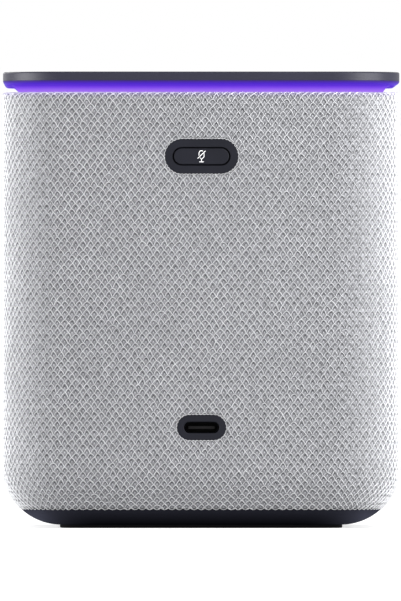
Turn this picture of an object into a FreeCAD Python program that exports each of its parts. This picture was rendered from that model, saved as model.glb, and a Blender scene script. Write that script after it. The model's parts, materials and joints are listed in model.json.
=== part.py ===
"""Smart display: a fabric-covered tabletop unit, built as an assembly of separate pieces.

Millimetres, +Z up, origin at the middle of the underside. The screen faces -Y; the mute button
and the power socket face +Y. Every size lives in the spreadsheet, and sketches are bound to it.
"""

import FreeCAD, Part
import math
import os
from types import SimpleNamespace

import Sketcher

Vector = FreeCAD.Vector
Constraint = Sketcher.Constraint

DIMENSIONS = {
    # outer form
    "body_half": 51.0,
    "corner_radius": 17.0,
    "bowl_radius": 15.0,
    "bowl_bottom": 0.85,
    "seam_height": 4.82,
    "shoulder_height": 111.7,
    "shoulder_radius": 0.7,
    "total_height": 117.0,
    "fabric_thick": 0.9,
    "fabric_fold": 5.1,
    "skin_gap": 0.05,
    # rubber foot and base
    "foot_half": 36.3,
    "foot_corner": 6.0,
    "foot_recess": 0.5,
    "foot_fillet": 0.35,
    "foot_groove": 0.3,
    "base_floor_top": 3.05,
    "base_post_radius": 4.0,
    "base_spigot_inset": 10.9,
    "base_spigot_thick": 2.0,
    "case_screw_pitch": 28.0,
    # housing, gasket and deck
    "wall_thick": 2.15,
    "housing_bottom": 5.0,
    "floor_bottom": 6.5,
    "floor_thick": 2.0,
    "floor_inset": 5.5,
    "floor_boss_height": 5.0,
    "ledge_bottom": 105.5,
    "ledge_top": 107.05,
    "ledge_inset": 6.0,
    "gasket_thick": 0.6,
    "deck_top": 110.75,
    "deck_opening": 30.0,
    "deck_screw_pitch": 41.5,
    "deck_post_radius": 3.6,
    "deck_post_height": 13.0,
    # lamp ring and top plate
    "plate_bottom": 114.8,
    "plate_inset": 0.1,
    "plate_fillet": 0.45,
    "lip_drop": 1.1,
    "lip_inset": 2.5,
    "cove_inset": 4.4,
    "guide_leg_inset": 6.2,
    "guide_root_inset": 13.5,
    "lamp_clearance": 113.2,
    "lamp_board_inset": 7.0,
    "lamp_board_width": 5.5,
    "lamp_board_thick": 1.0,
    "lamp_length": 3.2,
    "lamp_width": 2.8,
    "lamp_height": 1.1,
    "lamp_pitch": 13.5,
    # microphones
    "mic_board_side": 44.0,
    "mic_board_bottom": 113.3,
    "mic_board_thick": 1.0,
    "mic_pitch": 18.0,
    "mic_hole_radius": 0.55,
    "mic_length": 3.5,
    "mic_width": 2.65,
    "mic_height": 0.98,
    # screen
    "screen_centre": 62.5,
    "bezel_width": 64.0,
    "bezel_height": 82.0,
    "bezel_corner": 9.2,
    "bezel_rim": 1.05,
    "bezel_back": 47.6,
    "bezel_ledge": 49.7,
    "glass_width": 61.6,
    "glass_height": 79.6,
    "glass_corner": 8.0,
    "glass_thick": 1.1,
    "glass_step": 0.15,
    "panel_width": 57.4,
    "panel_height": 76.9,
    "panel_thick": 1.15,
    "backlight_thick": 0.8,
    "frame_width": 72.0,
    "frame_height": 85.0,
    "frame_thick": 1.0,
    "frame_screw_across": 34.0,
    "frame_screw_up": 30.0,
    "ribbon_width": 24.0,
    "ribbon_slot": 2.4,
    "ribbon_drop": 37.5,
    "ribbon_end": -25.5,
    # main board
    "board_width": 64.0,
    "board_height": 70.0,
    "board_thick": 1.2,
    "board_screw_across": 29.0,
    "board_screw_up": 32.0,
    "standoff_radius": 2.4,
    "standoff_height": 4.0,
    "shield_side": 27.0,
    "shield_height": 2.2,
    "shield_across": 6.0,
    "shield_up": 8.0,
    "sink_side": 33.0,
    "sink_base": 1.8,
    "sink_fin_height": 6.0,
    "sink_fin_thick": 1.0,
    "sink_fin_pitch": 4.0,
    # mute button
    "mute_height": 95.3,
    "mute_bezel_width": 18.8,
    "mute_bezel_height": 8.87,
    "mute_hole_width": 14.9,
    "mute_hole_height": 4.8,
    "mute_cap_width": 14.1,
    "mute_cap_height": 4.1,
    "mute_cap_face": 50.92,
    "mute_cap_back": 48.0,
    "mute_flange_thick": 0.85,
    "mute_post_end": 44.9,
    "mute_post_radius": 1.2,
    "insert_back": 47.0,
    "insert_flange": 47.82,
    "switch_side": 6.2,
    "switch_face": 43.8,
    "switch_back": 40.6,
    "plunger_radius": 1.4,
    "plunger_back": 43.3,
    "small_board_thick": 1.0,
    "button_board_width": 32.0,
    "button_board_height": 9.0,
    "button_post_across": 13.6,
    # power socket
    "port_height": 25.9,
    "port_bezel_width": 12.6,
    "port_bezel_height": 6.43,
    "port_hole_width": 9.1,
    "port_hole_height": 2.9,
    "socket_width": 8.94,
    "socket_height": 3.16,
    "socket_metal": 0.3,
    "socket_face": 49.85,
    "socket_back": 42.6,
    "tongue_width": 6.69,
    "tongue_thick": 0.7,
    "tongue_face": 49.3,
    "socket_board_width": 20.0,
    "socket_board_front": 28.0,
    "socket_board_rear": 46.4,
    "socket_post_across": 7.0,
    "socket_post_forward": 31.0,
    # sound
    "sound_height": 61.0,
    "grille_radius": 26.0,
    "grille_thick": 0.95,
    "grille_hole_radius": 1.1,
    "grille_ring_pitch": 4.3,
    "window_radius": 24.2,
    "side_grille_radius": 24.0,
    "side_window_radius": 22.2,
    "driver_face": 47.3,
    "driver_flange_thick": 1.2,
    "driver_radius": 26.6,
    "driver_ear_pitch": 20.5,
    "driver_ear_radius": 3.2,
    "terminal_width": 10.0,
    "terminal_height": 4.5,
    "terminal_drop": 27.2,
    "basket_back": 33.6,
    "basket_bore": 10.5,
    "basket_seat": 45.0,
    "magnet_radius": 18.5,
    "magnet_bore": 10.0,
    "magnet_front": 31.0,
    "magnet_back": 23.0,
    "washer_bore": 9.2,
    "yoke_back": 20.0,
    "pole_radius": 7.9,
    "coil_inner": 8.25,
    "coil_outer": 8.85,
    "coil_back": 28.5,
    "neck_height": 37.0,
    "rim_height": 44.9,
    "rim_radius": 20.6,
    "paper_thick": 0.5,
    "roll_radius": 1.4,
    "roll_thick": 0.4,
    "radiator_plate_radius": 17.6,
    "radiator_roll_radius": 2.0,
    # fasteners
    "case_screw_radius": 1.2,
    "case_screw_length": 7.0,
    "case_head_radius": 2.25,
    "case_head_height": 1.6,
    "small_screw_radius": 0.95,
    "small_screw_length": 3.2,
    "small_head_radius": 1.85,
    "small_head_height": 1.2,
    "screw_play": 0.1,
    # wiring
    "lead_radius": 0.8,
    "ribbon_thick": 0.3,
}

GRILLE_RING_HOLES = (6, 12, 18, 24, 30)
FIN_COUNT = 8
LAMPS_PER_SIDE = 5


class Size:
    """A length that knows its number and the spreadsheet expression that gives it."""

    def __init__(self, value, text=None):
        self.value = float(value)
        self.text = repr(self.value) if text is None else text
        self.bound = text is not None

    def joined(self, other, sign, value, swap=False):
        other = other if isinstance(other, Size) else Size(other)
        left, right = (other, self) if swap else (self, other)
        made = Size(value, f"({left.text} {sign} {right.text})")
        made.bound = self.bound or other.bound
        return made

    def __add__(self, other):
        return self.joined(other, "+", self.value + number(other))

    def __radd__(self, other):
        return self.joined(other, "+", self.value + number(other), swap=True)

    def __sub__(self, other):
        return self.joined(other, "-", self.value - number(other))

    def __rsub__(self, other):
        return self.joined(other, "-", number(other) - self.value, swap=True)

    def __mul__(self, other):
        return self.joined(other, "*", self.value * number(other))

    __rmul__ = __mul__

    def __truediv__(self, other):
        return self.joined(other, "/", self.value / number(other))

    def __neg__(self):
        return self.joined(0.0, "-", -self.value, swap=True)

    def root(self):
        return Size(math.sqrt(self.value), f"sqrt({self.text})")


def number(size):
    return size.value if isinstance(size, Size) else float(size)


def as_size(size):
    return size if isinstance(size, Size) else Size(size)


doc = FreeCAD.newDocument("SmartDisplay")
sheet = doc.addObject("Spreadsheet::Sheet", "Dims")
for row, (alias, value) in enumerate(DIMENSIONS.items(), start=1):
    sheet.set(f"A{row}", alias)
    sheet.set(f"B{row}", str(value))
    sheet.setAlias(f"B{row}", alias)
doc.recompute()
d = SimpleNamespace(**{alias: Size(value, f"Dims.{alias}") for alias, value in DIMENSIONS.items()})

finished = {}

# ------------------------------------------------------------------ placing

FACINGS = {
    "up": FreeCAD.Rotation(),
    "front": FreeCAD.Rotation(Vector(1, 0, 0), Vector(0, 0, 1), Vector(0, -1, 0), "ZXY"),
    "rear": FreeCAD.Rotation(Vector(-1, 0, 0), Vector(0, 0, 1), Vector(0, 1, 0), "ZXY"),
    "right": FreeCAD.Rotation(Vector(0, 1, 0), Vector(0, 0, 1), Vector(1, 0, 0), "ZXY"),
    "left": FreeCAD.Rotation(Vector(0, -1, 0), Vector(0, 0, 1), Vector(-1, 0, 0), "ZXY"),
    "down": FreeCAD.Rotation(Vector(1, 0, 0), Vector(0, -1, 0), Vector(0, 0, -1), "ZXY"),
}


def bind(item, path, size):
    """Sets a property to a size, and to its expression where the sheet gives it."""
    size = as_size(size)
    if "." not in path and "[" not in path:
        setattr(item, path, size.value)
    if size.bound:
        item.setExpression(path, size.text)


def stand(item, facing="up", x=0.0, y=0.0, z=0.0):
    """Turns a piece's own +Z to a facing and puts its origin at x, y, z."""
    at = Vector(number(x), number(y), number(z))
    item.Placement = FreeCAD.Placement(at, FACINGS[facing])
    for axis, size in (("x", x), ("y", y), ("z", z)):
        if as_size(size).bound:
            item.setExpression(f"Placement.Base.{axis}", size.text)
    return item


def finish(item, label):
    """Names a finished sub-part, whose label is its node's name."""
    item.Label = label
    finished[label] = item
    return item


# ------------------------------------------------------------------ sketches


def new_body(name):
    return doc.addObject("PartDesign::Body", name)


def sketch_on(body, role="XY_Plane", offset=0.0):
    sketch = body.newObject("Sketcher::SketchObject", "Sketch")
    plane = next(f for f in body.Origin.OriginFeatures if f.Role == role)
    sketch.AttachmentSupport = [(plane, "")]
    sketch.MapMode = "FlatFace"
    sketch.AttachmentOffset = FreeCAD.Placement(Vector(0, 0, number(offset)), FreeCAD.Rotation())
    if as_size(offset).bound:
        sketch.setExpression("AttachmentOffset.Base.z", offset.text)
    return sketch


def hold(sketch, kind, elements, size):
    """Adds a dimensional constraint bound to a size."""
    size = as_size(size)
    index = sketch.addConstraint(Constraint(kind, *elements, size.value))
    if size.bound:
        sketch.setExpression(f"Constraints[{index}]", size.text)


def fix(sketch, geometry, position, x=None, y=None):
    """Holds a point at signed distances from the sketch's axes."""
    for size, kind, axis in ((x, "DistanceX", -2), (y, "DistanceY", -1)):
        if size is None:
            continue
        value = number(size)
        if abs(value) < 1e-9:
            sketch.addConstraint(Constraint("PointOnObject", geometry, position, axis))
        elif value > 0:
            hold(sketch, kind, (-1, 1, geometry, position), size)
        else:
            hold(sketch, kind, (geometry, position, -1, 1), -as_size(size))


def box_outline(width, height, radius, x=0.0, y=0.0):
    """A rectangle with rounded corners."""

    def draw(sketch):
        w, h, r, cx, cy = (number(s) for s in (width, height, radius, x, y))
        arcs, lines = [], []
        corners = [(1, 1), (-1, 1), (-1, -1), (1, -1)]
        middles = [(cx + sx * (w / 2 - r), cy + sy * (h / 2 - r)) for sx, sy in corners]
        for k, (mx, my) in enumerate(middles):
            circle = Part.Circle(Vector(mx, my, 0), Vector(0, 0, 1), r)
            start = k * math.pi / 2
            arcs.append(sketch.addGeometry(Part.ArcOfCircle(circle, start, start + math.pi / 2)))
        for k in range(4):
            turn = (k + 1) * math.pi / 2
            reach = Vector(r * math.cos(turn), r * math.sin(turn), 0)
            begin = Vector(*middles[k], 0) + reach
            end = Vector(*middles[(k + 1) % 4], 0) + reach
            lines.append(sketch.addGeometry(Part.LineSegment(begin, end)))
        for k in range(4):
            sketch.addConstraint(Constraint("Tangent", arcs[k], 2, lines[k], 1))
            sketch.addConstraint(Constraint("Tangent", lines[k], 2, arcs[(k + 1) % 4], 1))
            level = "Horizontal" if k % 2 == 0 else "Vertical"
            sketch.addConstraint(Constraint(level, lines[k]))
            if k:
                sketch.addConstraint(Constraint("Equal", arcs[0], arcs[k]))
        hold(sketch, "Radius", (arcs[0],), radius)
        fix(sketch, lines[0], 1, y=y + as_size(height) / 2)
        fix(sketch, lines[2], 1, y=y - as_size(height) / 2)
        fix(sketch, lines[1], 1, x=x - as_size(width) / 2)
        fix(sketch, lines[3], 1, x=x + as_size(width) / 2)

    return draw


def plan_outline(inset):
    """The object's plan outline, drawn in by an inset."""
    side = (d.body_half - inset) * 2
    return box_outline(side, side, d.corner_radius - inset)


def stadium_outline(width, height, x=0.0, y=0.0):
    """A slot shape with fully rounded ends."""

    def draw(sketch):
        r = as_size(height) / 2
        reach = (as_size(width) - height) / 2
        up = Vector(0, 0, 1)
        right_end = Vector(number(x) + reach.value, number(y), 0)
        left_end = Vector(number(x) - reach.value, number(y), 0)
        quarter = math.pi / 2
        rise = Vector(0, r.value, 0)
        right = sketch.addGeometry(
            Part.ArcOfCircle(Part.Circle(right_end, up, r.value), -quarter, quarter)
        )
        left = sketch.addGeometry(
            Part.ArcOfCircle(Part.Circle(left_end, up, r.value), quarter, 3 * quarter)
        )
        top = sketch.addGeometry(Part.LineSegment(right_end + rise, left_end + rise))
        bottom = sketch.addGeometry(Part.LineSegment(left_end - rise, right_end - rise))
        chain = [(right, top), (top, left), (left, bottom), (bottom, right)]
        for first, second in chain:
            sketch.addConstraint(Constraint("Tangent", first, 2, second, 1))
        sketch.addConstraint(Constraint("Equal", right, left))
        hold(sketch, "Radius", (right,), r)
        fix(sketch, right, 3, x=x + reach, y=y)
        fix(sketch, left, 3, x=x - reach, y=y)

    return draw


def circle_outline(radius, x=0.0, y=0.0):
    def draw(sketch):
        circle = Part.Circle(Vector(number(x), number(y), 0), Vector(0, 0, 1), number(radius))
        geometry = sketch.addGeometry(circle)
        hold(sketch, "Radius", (geometry,), radius)
        fix(sketch, geometry, 3, x=x, y=y)

    return draw


def four_circles(radius, across, up):
    return [circle_outline(radius, across * sx, up * sy) for sx in (-1, 1) for sy in (-1, 1)]


def section_outline(points, centres=None):
    """A closed outline through points; centres gives the arc centre of the run that leaves a point."""
    centres = centres or {}

    def draw(sketch):
        geometry = []
        count = len(points)
        for k in range(count):
            begin = Vector(number(points[k][0]), number(points[k][1]), 0)
            after = points[(k + 1) % count]
            end = Vector(number(after[0]), number(after[1]), 0)
            if k in centres:
                cx, cy, turn = centres[k]
                middle = Vector(number(cx), number(cy), 0)
                a, b = (begin, end) if turn == "left" else (end, begin)
                first = math.atan2(a.y - middle.y, a.x - middle.x)
                last = math.atan2(b.y - middle.y, b.x - middle.x)
                last += 2 * math.pi if last < first else 0.0
                circle = Part.Circle(middle, Vector(0, 0, 1), (begin - middle).Length)
                arc = Part.ArcOfCircle(circle, first, last)
                geometry.append((sketch.addGeometry(arc), (1, 2) if turn == "left" else (2, 1)))
            else:
                geometry.append((sketch.addGeometry(Part.LineSegment(begin, end)), (1, 2)))
        for k, (item, (start, finish_end)) in enumerate(geometry):
            after, (after_start, _) = geometry[(k + 1) % count]
            sketch.addConstraint(Constraint("Coincident", item, finish_end, after, after_start))
            fix(sketch, item, start, x=points[k][0], y=points[k][1])
        for k, (cx, cy, _) in centres.items():
            # the end points already hold the arc's middle across their chord
            dx = number(points[k][0]) - number(points[(k + 1) % count][0])
            dy = number(points[k][1]) - number(points[(k + 1) % count][1])
            if abs(dy) >= abs(dx):
                fix(sketch, geometry[k][0], 3, x=cx)
            else:
                fix(sketch, geometry[k][0], 3, y=cy)

    return draw


def draw_all(sketch, outlines):
    for draw in outlines if isinstance(outlines, (list, tuple)) else [outlines]:
        draw(sketch)
    return sketch


# ------------------------------------------------------------------ features


def pad(body, outlines, bottom, top):
    sketch = draw_all(sketch_on(body, offset=bottom), outlines)
    feature = body.newObject("PartDesign::Pad", "Pad")
    feature.Profile = sketch
    bind(feature, "Length", as_size(top) - bottom)
    return feature


def pocket(body, outlines, bottom, top):
    """Cuts downwards from top to bottom."""
    sketch = draw_all(sketch_on(body, offset=top), outlines)
    feature = body.newObject("PartDesign::Pocket", "Pocket")
    feature.Profile = sketch
    bind(feature, "Length", as_size(top) - bottom)
    return feature


WINDOW_PLANES = {
    "rear": ("XZ_Plane", -1, False),
    "front": ("XZ_Plane", 1, True),
    "right": ("YZ_Plane", 1, True),
    "left": ("YZ_Plane", -1, False),
}


def window(body, side, outlines, near, far):
    """Cuts through one wall, from near to far along the way that side faces."""
    role, sign, reverse = WINDOW_PLANES[side]
    sketch = draw_all(sketch_on(body, role, as_size(near) * sign), outlines)
    feature = body.newObject("PartDesign::Pocket", "Window")
    feature.Profile = sketch
    feature.Reversed = reverse
    bind(feature, "Length", as_size(far) - near)
    return feature


def wall_pad(body, side, outlines, near, far):
    """Adds material to one wall, from near to far along the way that side faces."""
    role, sign, reverse = WINDOW_PLANES[side]
    sketch = draw_all(sketch_on(body, role, as_size(near) * sign), outlines)
    feature = body.newObject("PartDesign::Pad", "WallPad")
    feature.Profile = sketch
    feature.Reversed = not reverse
    bind(feature, "Length", as_size(far) - near)
    return feature


def plan_ring(body, points, centres=None):
    """Sweeps a section round the plan outline. A point is (inset, height)."""
    path = draw_all(sketch_on(body), plan_outline(Size(0.0)))
    placed = [(d.body_half - inset, height) for inset, height in points]
    moved = {k: (d.body_half - cx, cy, turn) for k, (cx, cy, turn) in (centres or {}).items()}
    section = draw_all(sketch_on(body, "XZ_Plane"), section_outline(placed, moved))
    feature = body.newObject("PartDesign::AdditivePipe", "Ring")
    feature.Profile = section
    feature.Spine = (path, [])
    return feature


def revolve(body, points, centres=None):
    """Turns a section round the piece's own Z. A point is (radius, height)."""
    section = draw_all(sketch_on(body, "XZ_Plane"), section_outline(points, centres))
    feature = body.newObject("PartDesign::Revolution", "Revolution")
    feature.Profile = section
    feature.ReferenceAxis = (section, ["V_Axis"])
    feature.Angle = 360.0
    return feature


def ring_section(inner, outer, bottom, top):
    return [(inner, bottom), (outer, bottom), (outer, top), (inner, top)]


def round_edges(body, radius, chosen):
    """Fillets the tip's edges that pass a test on their two ends and middle."""
    doc.recompute()
    base = body.Tip
    names = []
    for index, edge in enumerate(base.Shape.Edges, start=1):
        middle = edge.valueAt((edge.FirstParameter + edge.LastParameter) / 2)
        if all(chosen(p) for p in [v.Point for v in edge.Vertexes] + [middle]):
            names.append(f"Edge{index}")
    if not names:
        raise ValueError(f"no edge to round on {body.Name}")
    feature = body.newObject("PartDesign::Fillet", "Fillet")
    feature.Base = (base, names)
    bind(feature, "Radius", radius)
    return feature


def at_height(size, reach=None):
    """A test for points at a height, and no nearer to the axis than reach."""
    z = number(size)

    def chosen(point):
        out = reach is None or max(abs(point.x), abs(point.y)) >= number(reach)
        return abs(point.z - z) < 1e-4 and out

    return chosen


def repeat_round(body, feature, count):
    pattern = body.newObject("PartDesign::PolarPattern", "Pattern")
    pattern.Originals = [feature]
    pattern.Axis = (feature.Profile[0], ["N_Axis"])
    pattern.Angle = 360.0
    pattern.Occurrences = count
    body.Tip = pattern
    return pattern


def compound(label, members):
    group = doc.addObject("Part::Compound", label)
    group.Links = members
    return finish(group, label)


def block(name, length, width, height, x, y, z, angle=0.0):
    """A box centred on x, y and standing on z, turned about Z."""
    item = doc.addObject("Part::Box", name)
    for path, size in (("Length", length), ("Width", width), ("Height", height)):
        bind(item, path, size)
    turn = FreeCAD.Rotation(Vector(0, 0, 1), angle)
    half = turn.multVec(Vector(number(length) / 2, number(width) / 2, 0))
    at = Vector(number(x), number(y), number(z)) - half
    item.Placement = FreeCAD.Placement(at, turn)
    return item


# ------------------------------------------------------------------ base and foot


def rubber_foot():
    body = new_body("RubberFoot")
    side = d.foot_half * 2
    top = d.bowl_bottom + d.foot_recess - d.skin_gap
    pad(body, box_outline(side, side, d.foot_corner), 0.0, top)
    round_edges(body, d.foot_fillet, at_height(0.0))
    outer = box_outline(side - 12, side - 12, d.foot_corner - 2)
    inner = box_outline(side - 18, side - 18, d.foot_corner - 3)
    pocket(body, [outer, inner], 0.0, d.foot_groove)
    finish(body, "rubber_foot")


def bowl_inset(radius, height):
    """How far in a bowl of that radius is at a height."""
    middle = d.bowl_bottom + d.bowl_radius
    return d.bowl_radius - (radius * radius - (middle - height) * (middle - height)).root()


def base_cover():
    body = new_body("BaseCover")
    middle = (d.bowl_radius, d.bowl_bottom + d.bowl_radius)
    seam_inset = bowl_inset(d.bowl_radius, d.seam_height)
    root = d.bowl_radius + 1.0
    points = [
        (d.bowl_radius, d.bowl_bottom),
        (seam_inset, d.seam_height),
        (d.base_spigot_inset + d.base_spigot_thick, d.seam_height),
        (d.base_spigot_inset + d.base_spigot_thick, d.base_floor_top),
        (root, d.base_floor_top),
        (root, d.bowl_bottom),
    ]
    plan_ring(body, points, {0: (*middle, "left")})
    floor_side = (d.body_half - d.bowl_radius - 0.5) * 2
    pad(body, box_outline(floor_side, floor_side, 1.5), d.bowl_bottom, d.base_floor_top)
    spigot = [plan_outline(d.base_spigot_inset)]
    spigot.append(plan_outline(d.base_spigot_inset + d.base_spigot_thick))
    pad(body, spigot, d.seam_height - 0.5, d.floor_bottom - 0.1)
    posts = four_circles(d.base_post_radius, d.case_screw_pitch, d.case_screw_pitch)
    pad(body, posts, d.base_floor_top - 0.2, d.floor_bottom - 0.05)
    play = d.skin_gap * 2
    recess = (d.foot_half + play) * 2
    pocket(
        body, box_outline(recess, recess, d.foot_corner + play), 0.0, d.bowl_bottom + d.foot_recess
    )
    head_room = four_circles(d.case_head_radius + 0.25, d.case_screw_pitch, d.case_screw_pitch)
    pocket(body, head_room, 0.0, d.base_floor_top)
    bore = d.case_screw_radius + d.screw_play
    pocket(body, four_circles(bore, d.case_screw_pitch, d.case_screw_pitch), 0.0, d.floor_bottom)
    finish(body, "base_cover")


# ------------------------------------------------------------------ skin and housing


def fabric_sleeve():
    body = new_body("FabricSleeve")
    middle = d.bowl_bottom + d.bowl_radius
    inner_bowl = d.bowl_radius - d.fabric_thick
    top = d.shoulder_height
    under = top - d.fabric_thick
    points = [
        (bowl_inset(d.bowl_radius, d.seam_height), d.seam_height),
        (Size(0.0), middle),
        (Size(0.0), top - d.shoulder_radius),
        (d.shoulder_radius, top),
        (d.fabric_fold, top),
        (d.fabric_fold, under),
        (d.fabric_thick, under),
        (d.fabric_thick, middle),
        (bowl_inset(inner_bowl, d.seam_height), d.seam_height),
    ]
    centres = {
        0: (d.bowl_radius, middle, "left"),
        2: (d.shoulder_radius, top - d.shoulder_radius, "left"),
        7: (d.bowl_radius, middle, "right"),
    }
    plan_ring(body, points, centres)
    near, far = d.body_half - 4, d.body_half + 1
    play = d.skin_gap * 4
    screen = box_outline(
        d.bezel_width + play, d.bezel_height + play, d.bezel_corner, y=d.screen_centre
    )
    window(body, "front", screen, near, far)
    mute = stadium_outline(
        d.mute_bezel_width + play, d.mute_bezel_height + play, y=d.mute_height
    )
    port = stadium_outline(
        d.port_bezel_width + play, d.port_bezel_height + play, y=d.port_height
    )
    window(body, "rear", [mute, port], near, far)
    finish(body, "fabric_sleeve")


def housing():
    body = new_body("Housing")
    outer = d.fabric_thick + d.skin_gap
    inner = outer + d.wall_thick
    middle = d.bowl_bottom + d.bowl_radius
    points = [
        (bowl_inset(d.bowl_radius - outer, d.housing_bottom), d.housing_bottom),
        (outer, middle),
        (outer, d.deck_top),
        (inner, d.deck_top),
        (inner, middle),
        (bowl_inset(d.bowl_radius - inner, d.housing_bottom), d.housing_bottom),
    ]
    centres = {0: (d.bowl_radius, middle, "left"), 4: (d.bowl_radius, middle, "right")}
    plan_ring(body, points, centres)
    floor_top = d.floor_bottom + d.floor_thick
    pad(body, plan_outline(d.floor_inset), d.floor_bottom, floor_top)
    pad(body, [plan_outline(inner - 0.5), plan_outline(d.ledge_inset)], d.ledge_bottom, d.ledge_top)
    posts = four_circles(d.deck_post_radius, d.deck_screw_pitch, d.deck_screw_pitch)
    pad(body, posts, d.ledge_top - d.deck_post_height, d.ledge_top)
    bosses = four_circles(d.base_post_radius, d.case_screw_pitch, d.case_screw_pitch)
    pad(body, bosses, floor_top - 0.2, floor_top + d.floor_boss_height)
    socket_posts = [
        circle_outline(Size(2.3), d.socket_post_across * s, d.socket_post_forward) for s in (-1, 1)
    ]
    socket_floor = d.port_height - d.socket_height / 2 - d.small_board_thick - 0.02
    pad(body, socket_posts, floor_top - 0.2, socket_floor)
    button_posts = [
        circle_outline(Size(2.2), d.button_post_across * s, d.mute_height) for s in (-1, 1)
    ]
    wall_inside = d.body_half - inner
    wall_pad(body, "rear", button_posts, d.switch_back + 0.02, wall_inside + 0.5)
    housing_windows(body, wall_inside)
    housing_pilots(body, floor_top, socket_floor, wall_inside)
    finish(body, "housing")


def housing_windows(body, wall_inside):
    near, far = wall_inside - 0.6, d.body_half + 1
    play = d.skin_gap * 6
    screen = box_outline(
        d.bezel_width + play, d.bezel_height + play, d.bezel_corner, y=d.screen_centre
    )
    window(body, "front", screen, near, far)
    openings = [
        stadium_outline(d.mute_bezel_width + play, d.mute_bezel_height + play, y=d.mute_height),
        stadium_outline(d.port_bezel_width + play, d.port_bezel_height + play, y=d.port_height),
        circle_outline(d.window_radius, y=d.sound_height),
    ]
    window(body, "rear", openings, near, far)
    seat = d.body_half - d.fabric_thick - d.skin_gap - d.grille_thick - 0.1
    rear_seat = circle_outline(d.grille_radius + 0.15, y=d.sound_height)
    window(body, "rear", rear_seat, seat, far)
    for side in ("left", "right"):
        window(body, side, circle_outline(d.side_window_radius, y=d.sound_height), near, far)
        side_seat = circle_outline(d.side_grille_radius + 0.15, y=d.sound_height)
        window(body, side, side_seat, seat, far)


def housing_pilots(body, floor_top, socket_floor, wall_inside):
    bore = d.case_screw_radius + 0.02
    small = d.small_screw_radius + 0.02
    pocket(
        body,
        four_circles(bore, d.case_screw_pitch, d.case_screw_pitch),
        d.floor_bottom - 1,
        floor_top + d.floor_boss_height - 2,
    )
    deck_pilots = four_circles(bore, d.deck_screw_pitch, d.deck_screw_pitch)
    pocket(body, deck_pilots, d.ledge_top - d.case_screw_length - 1, d.ledge_top + 1)
    socket_pilots = [
        circle_outline(small, d.socket_post_across * s, d.socket_post_forward) for s in (-1, 1)
    ]
    pocket(body, socket_pilots, socket_floor - d.small_screw_length - 1, socket_floor + 1)
    button_pilots = [
        circle_outline(small, d.button_post_across * s, d.mute_height) for s in (-1, 1)
    ]
    window(body, "rear", button_pilots, d.switch_back - 1, d.switch_back + d.small_screw_length + 1)
    frame_pilots = [
        circle_outline(
            small, d.frame_screw_across * sx, d.screen_centre + d.frame_screw_up * sy
        )
        for sx in (-1, 1)
        for sy in (-1, 1)
    ]
    window(body, "front", frame_pilots, wall_inside - 1, wall_inside + 2.0)
    ear_pilots = [
        circle_outline(small, d.driver_ear_pitch * sx, d.sound_height + d.driver_ear_pitch * sy)
        for sx in (-1, 1)
        for sy in (-1, 1)
    ]
    window(body, "rear", ear_pilots, wall_inside - 1, wall_inside + 1.6)


# ------------------------------------------------------------------ deck, lamps and top


def deck_gasket():
    body = new_body("DeckGasket")
    outer = d.fabric_thick + d.skin_gap * 2 + d.wall_thick
    rings = [plan_outline(outer + 0.3), plan_outline(d.ledge_inset)]
    pad(body, rings, d.ledge_top, d.ledge_top + d.gasket_thick)
    bore = d.case_screw_radius + d.screw_play
    holes = four_circles(bore, d.deck_screw_pitch, d.deck_screw_pitch)
    pocket(body, holes, d.ledge_top - 1, d.ledge_top + d.gasket_thick)
    finish(body, "deck_gasket")


def top_deck():
    body = new_body("TopDeck")
    bottom = d.ledge_top + d.gasket_thick
    outer = d.fabric_thick + d.skin_gap * 2 + d.wall_thick
    pad(body, plan_outline(outer), bottom, d.deck_top)
    pocket(
        body, box_outline(d.deck_opening, d.deck_opening, 4.0), bottom - 1, d.deck_top
    )
    bore = d.case_screw_radius + d.screw_play
    holes = four_circles(bore, d.deck_screw_pitch, d.deck_screw_pitch)
    holes += four_circles(bore, d.case_screw_pitch, d.case_screw_pitch)
    pocket(body, holes, bottom - 1, d.deck_top)
    heads = four_circles(d.case_head_radius + 0.25, d.deck_screw_pitch, d.deck_screw_pitch)
    pocket(body, heads, d.deck_top - d.case_head_height - 0.2, d.deck_top)
    finish(body, "top_deck")


def light_guide():
    """The clear ring under the top plate, whose outside is a cove that sheds light on the shoulder."""
    body = new_body("LightGuide")
    top = d.plate_bottom - 0.02
    lip_bottom = top - d.lip_drop
    cove_middle_inset = Size(0.2)
    cove_middle_height = cove_centre_height(cove_middle_inset, lip_bottom)
    points = [
        (d.guide_leg_inset, d.deck_top + 0.02),
        (d.guide_leg_inset, d.lamp_clearance),
        (d.guide_root_inset, d.lamp_clearance),
        (d.guide_root_inset, top),
        (d.plate_inset, top),
        (d.plate_inset + d.lip_drop, lip_bottom),
        (d.lip_inset, lip_bottom),
        (d.cove_inset, d.shoulder_height + 0.02),
        (d.fabric_fold + 0.05, d.shoulder_height + 0.02),
        (d.fabric_fold + 0.05, d.deck_top + 0.02),
    ]
    centres = {
        4: (d.plate_inset + d.lip_drop, top, "right"),
        6: (cove_middle_inset, cove_middle_height, "left"),
    }
    plan_ring(body, points, centres)
    finish(body, "light_guide")


def cove_centre_height(inset, lip_bottom):
    """The height of the cove's centre, so that it passes the lip's inner edge and the shoulder."""
    foot_height = d.shoulder_height + 0.02
    across_lip = d.lip_inset - inset
    across_foot = d.cove_inset - inset
    squares = across_lip * across_lip - across_foot * across_foot
    heights = lip_bottom * lip_bottom - foot_height * foot_height
    return (squares + heights) / ((lip_bottom - foot_height) * 2)


def lamp_board():
    body = new_body("LampBoard")
    bottom = d.deck_top + d.skin_gap
    rings = [plan_outline(d.lamp_board_inset)]
    rings.append(plan_outline(d.lamp_board_inset + d.lamp_board_width))
    pad(body, rings, bottom, bottom + d.lamp_board_thick)
    finish(body, "lamp_board")


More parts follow.
